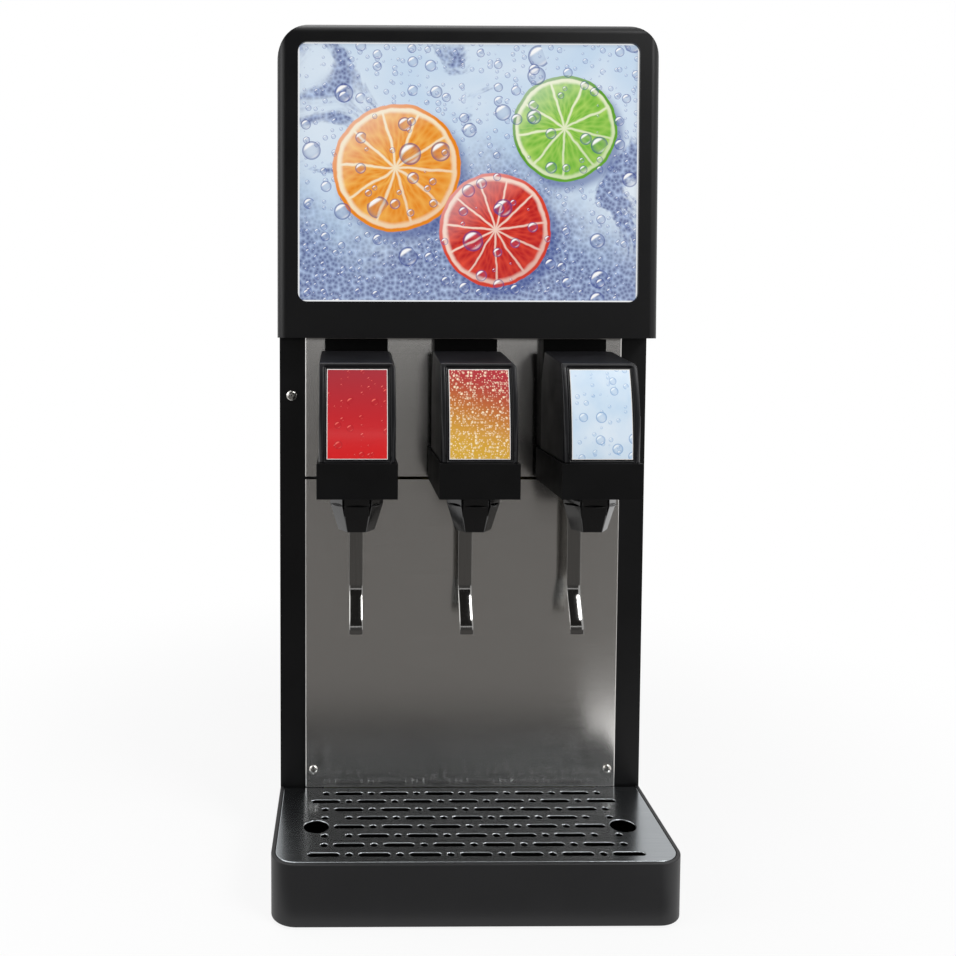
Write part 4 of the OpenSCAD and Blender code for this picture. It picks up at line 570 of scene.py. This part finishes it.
def make_piece(name, points, edges, tree, sizes, body, slot, *replaced):
    """Run a tree on its guide points, keep the plain mesh, and set it on its body."""
    guide = bpy.data.meshes.new(name)
    guide.from_pydata(points, edges, [])
    obj = bpy.data.objects.new(name, guide)
    scene.collection.objects.link(obj)
    shaped = obj.modifiers.new("shape", "NODES")
    shaped.node_group = tree
    for item in tree.interface.items_tree:
        if item.in_out == "INPUT" and item.name in sizes:
            shaped[item.identifier] = sizes[item.name]
    mesh = bpy.data.meshes.new_from_object(obj.evaluated_get(bpy.context.evaluated_depsgraph_get()))
    obj.modifiers.remove(shaped)
    obj.data = mesh
    mesh.shade_smooth()
    mesh.set_sharp_from_angle(angle=math.radians(32))
    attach(obj, body)
    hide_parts(*replaced)
    return obj


lever_y, pivot_z, lever_top_z, bend_z = -0.157, 0.333, 0.3455, 0.2275
paddle_y, paddle_z, tip_z = -0.172, 0.202, 0.195
lever_sizes = {"Strip width": 0.0112, "Strip thickness": 0.002, "Bend radius": 0.022,
               "Hub radius": 0.0045, "Bore radius": 0.00205, "Hub place": (0.0, lever_y, pivot_z)}
tree, given = size_tree("bent_lever_strip", lever_sizes)
path = add(tree, "GeometryNodeMeshToCurve", {"Mesh": (given, "Guide")})
bent = add(tree, "GeometryNodeFilletCurve", {"Curve": path, "Count": 10,
                                             "Radius": (given, "Bend radius")}, mode="POLY")
crown = add(tree, "ShaderNodeCombineXYZ", {"X": (given, "Strip width"), "Z": 1.0,
                                           "Y": (given, "Strip thickness")})
ring = add(tree, "GeometryNodeCurvePrimitiveCircle", {"Resolution": 46, "Radius": 0.5})
oval = add(tree, "GeometryNodeTransform", {"Geometry": ring, "Scale": crown})
strip = add(tree, "GeometryNodeCurveToMesh", {"Curve": bent, "Profile Curve": oval,
                                              "Fill Caps": True})
hub = add(tree, "GeometryNodeMeshCylinder", {"Vertices": 40, "Radius": (given, "Hub radius"),
                                             "Depth": (given, "Strip width")})
bore_length = add(tree, "ShaderNodeMath", {0: (given, "Strip width"), 1: 2.0}, operation="MULTIPLY")
bore = add(tree, "GeometryNodeMeshCylinder", {"Vertices": 40, "Radius": (given, "Bore radius"),
                                              "Depth": bore_length})
placed = [add(tree, "GeometryNodeTransform", {"Geometry": (round_bar, "Mesh"),
                                              "Translation": (given, "Hub place"),
                                              "Rotation": (0, math.pi / 2, 0)})
          for round_bar in (hub, bore)]
whole = add(tree, "GeometryNodeMeshBoolean", {1: placed[0]}, operation="UNION")
wire(tree, whole, {1: strip})
bored = add(tree, "GeometryNodeMeshBoolean", {"Mesh 1": (whole, "Mesh"), "Mesh 2": placed[1]},
            operation="DIFFERENCE")
finish_tree(tree, (bored, "Mesh"), lever_steel)
for side in sides:
    x = tap_x[side]
    route = [(x, lever_y, lever_top_z), (x, lever_y, bend_z), (x, paddle_y, paddle_z),
             (x, paddle_y, tip_z)]
    make_piece("lever_strip_" + side, route, [(0, 1), (1, 2), (2, 3)], tree,
               {**lever_sizes, "Hub place": (x, lever_y, pivot_z)}, "lever_" + side, "lever_steel",
               "lever_" + side)
dress(["lever_springs", "lever_pins", "tap_screws"], lever_steel)

# The switch behind each lever, with its button, and the two valve coils over it.
# Black and red thermoset plastic, moulded.
works_black = moulded("black_thermoset", "#18181a", "#202022", 0.5, 0.8)
button_red = moulded("red_thermoset", "#b3211f", "#9a1d1c", 0.4, 0.8)
dress(["tap_switches", "solenoids"], works_black, 0.0003)
dress(["switch_button_" + side for side in sides], button_red, 0.0002)

# The visible screws: pan heads with a cross recess, at the columns, the lower sheet and the rear.
# Bright zinc plate, with the grey of the recess.
zinc = brushed_steel("bright_zinc_plate", "#dedcd8", "#bdbab4", 0.2,
                     (1000 / 1.2, 1000 / 1.2, 1000 / 1.2))
screw_sizes = {"Head radius": 0.0042, "Head height": 0.0024, "Shank radius": 0.002,
               "Shank length": 0.007, "Recess length": 0.0048, "Recess width": 0.001,
               "Recess depth": 0.0014, "Turn": (0.0, 0.0, 0.0)}
tree, given = size_tree("pan_head_screws", screw_sizes)
wide = add(tree, "ShaderNodeMath", {0: (given, "Head radius"), 1: 1.12}, operation="MULTIPLY")
dome_size = add(tree, "ShaderNodeCombineXYZ", {"X": wide, "Y": wide, "Z": (given, "Head height")})
ball = add(tree, "GeometryNodeMeshUVSphere", {"Segments": 32, "Rings": 24, "Radius": 1.0})
dome = add(tree, "GeometryNodeTransform", {"Geometry": (ball, "Mesh"), "Scale": dome_size})
head_bar = add(tree, "GeometryNodeMeshCylinder", {"Vertices": 32, "Radius": (given, "Head radius"),
                                                  "Depth": (given, "Head height")})
head_lift = add(tree, "ShaderNodeMath", {0: (given, "Head height"), 1: 0.5}, operation="MULTIPLY")
head_up = add(tree, "ShaderNodeCombineXYZ", {"Z": head_lift})
head_side = add(tree, "GeometryNodeTransform", {"Geometry": (head_bar, "Mesh"),
                                                "Translation": head_up})
head = add(tree, "GeometryNodeMeshBoolean", {1: dome}, operation="INTERSECT")
wire(tree, head, {1: head_side})
recess_size = add(tree, "ShaderNodeCombineXYZ", {"X": (given, "Recess length"),
                                                 "Y": (given, "Recess width"),
                                                 "Z": (given, "Recess depth")})
recess_up = add(tree, "ShaderNodeCombineXYZ", {"Z": (given, "Head height")})
recess_bar = add(tree, "GeometryNodeMeshCube", {"Size": recess_size})
crossed = head
for turn in (0, math.pi / 2):
    arm = add(tree, "GeometryNodeTransform", {"Geometry": (recess_bar, "Mesh"),
                                              "Translation": recess_up, "Rotation": (0, 0, turn)})
    crossed = add(tree, "GeometryNodeMeshBoolean", {"Mesh 1": (crossed, "Mesh"), "Mesh 2": arm},
                  operation="DIFFERENCE")
shank = add(tree, "GeometryNodeMeshCylinder", {"Vertices": 16, "Radius": (given, "Shank radius"),
                                               "Depth": (given, "Shank length")})
shank_drop = add(tree, "ShaderNodeMath", {0: (given, "Shank length"), 1: -0.5}, operation="MULTIPLY")
shank_down = add(tree, "ShaderNodeCombineXYZ", {"Z": shank_drop})
stem = add(tree, "GeometryNodeTransform", {"Geometry": (shank, "Mesh"), "Translation": shank_down})
screw = add(tree, "GeometryNodeJoinGeometry", {"Geometry": (crossed, "Mesh")})
wire(tree, screw, {"Geometry": stem})
seated = add(tree, "GeometryNodeInstanceOnPoints", {"Points": (given, "Guide"), "Instance": screw,
                                                    "Rotation": (given, "Turn")})
finish_tree(tree, seated, zinc)
outwards, backwards = (math.pi / 2, 0.0, 0.0), (-math.pi / 2, 0.0, 0.0)
for name, seats, radius, turn in (
        ("column", [(x, -0.133, 0.388) for x in (-0.145, 0.145)], 0.0042, outwards),
        ("panel", [(x, -0.136, 0.066) for x in (-0.1265, 0.1265)], 0.0037, outwards),
        ("rear", [(x, 0.245, z) for x in (-0.1463, 0.1463) for z in (0.022, 0.2195, 0.417)],
         0.0037, backwards)):
    sizes = {**screw_sizes, "Head radius": radius, "Recess length": 1.15 * radius, "Turn": turn}
    make_piece(name + "_screw_heads", seats, [], tree, sizes, "cabinet", "zinc", name + "_screws")

# The cold side: foam box, steel tank, copper coil, carbonator, stirrer and drink lines.
# Cast foam, rolled steel, drawn copper with tarnish, and clear tubing.
dress(["bath_insulation"], moulded("cast_foam", "#d9cfa8", "#c9bd92", 0.9, 2.0, 0.2))
tank_steel = brushed_steel("rolled_stainless_tank", "#b2afab", "#8d8a86", 0.45,
                           (1000 / 40, 1000 / 1.5, 1000 / 1.5))
dress(["bath_tank", "carbonator"], tank_steel)
mat, tree, shader, place = surface("drawn_copper_tube", {"Metallic": 1.0})
tarnish = add(tree, "ShaderNodeTexNoise", {"Vector": place, "Scale": 1000 / 18, "Detail": 6.0})
tint = add(tree, "ShaderNodeMix", {"Factor": tarnish, "A": lin("#c07a4e"), "B": lin("#7d4b32")},
           data_type="RGBA")
sheen = add(tree, "ShaderNodeMath", {0: tarnish, 1: 0.35, 2: 0.15}, operation="MULTIPLY_ADD")
wire(tree, shader, {"Base Color": tint, "Roughness": sheen})
dress(["evaporator"], mat)
dress(["agitator", "drink_lines"], moulded("translucent_tubing", "#cfd0cd", "#bfc0bc", 0.35, 3.0))

# The warm side under the hood: compressor, condenser, fan, pump and control box on the deck.
# Black lacquer, pressed aluminium fins and moulded housings.
lacquer = powder_coat("black_lacquer", "#0f0f10", "#19191a", 0.3, 1.5, 0.5)
dress(["compressor"], lacquer)
fins = brushed_steel("pressed_aluminium_fins", "#c3c5c7", "#999b9d", 0.4,
                     (1000 / 1.8, 1000 / 30, 1000 / 30))
dress(["condenser"], fins)
dress(["fan_shroud", "fan_motor", "condenser_fan", "agitator_motor", "water_pump", "control_box"],
      works_black)

# The connections at the rear: five hose spigots, the mains inlet and the power switch.
# Turned stainless steel; black moulded frames; a red rocker.
dress(["inlet_fittings"], zinc, 0.0003)
dress(["power_inlet", "switch_frame"], works_black, 0.0003)
dress(["power_rocker"], button_red, 0.0004)
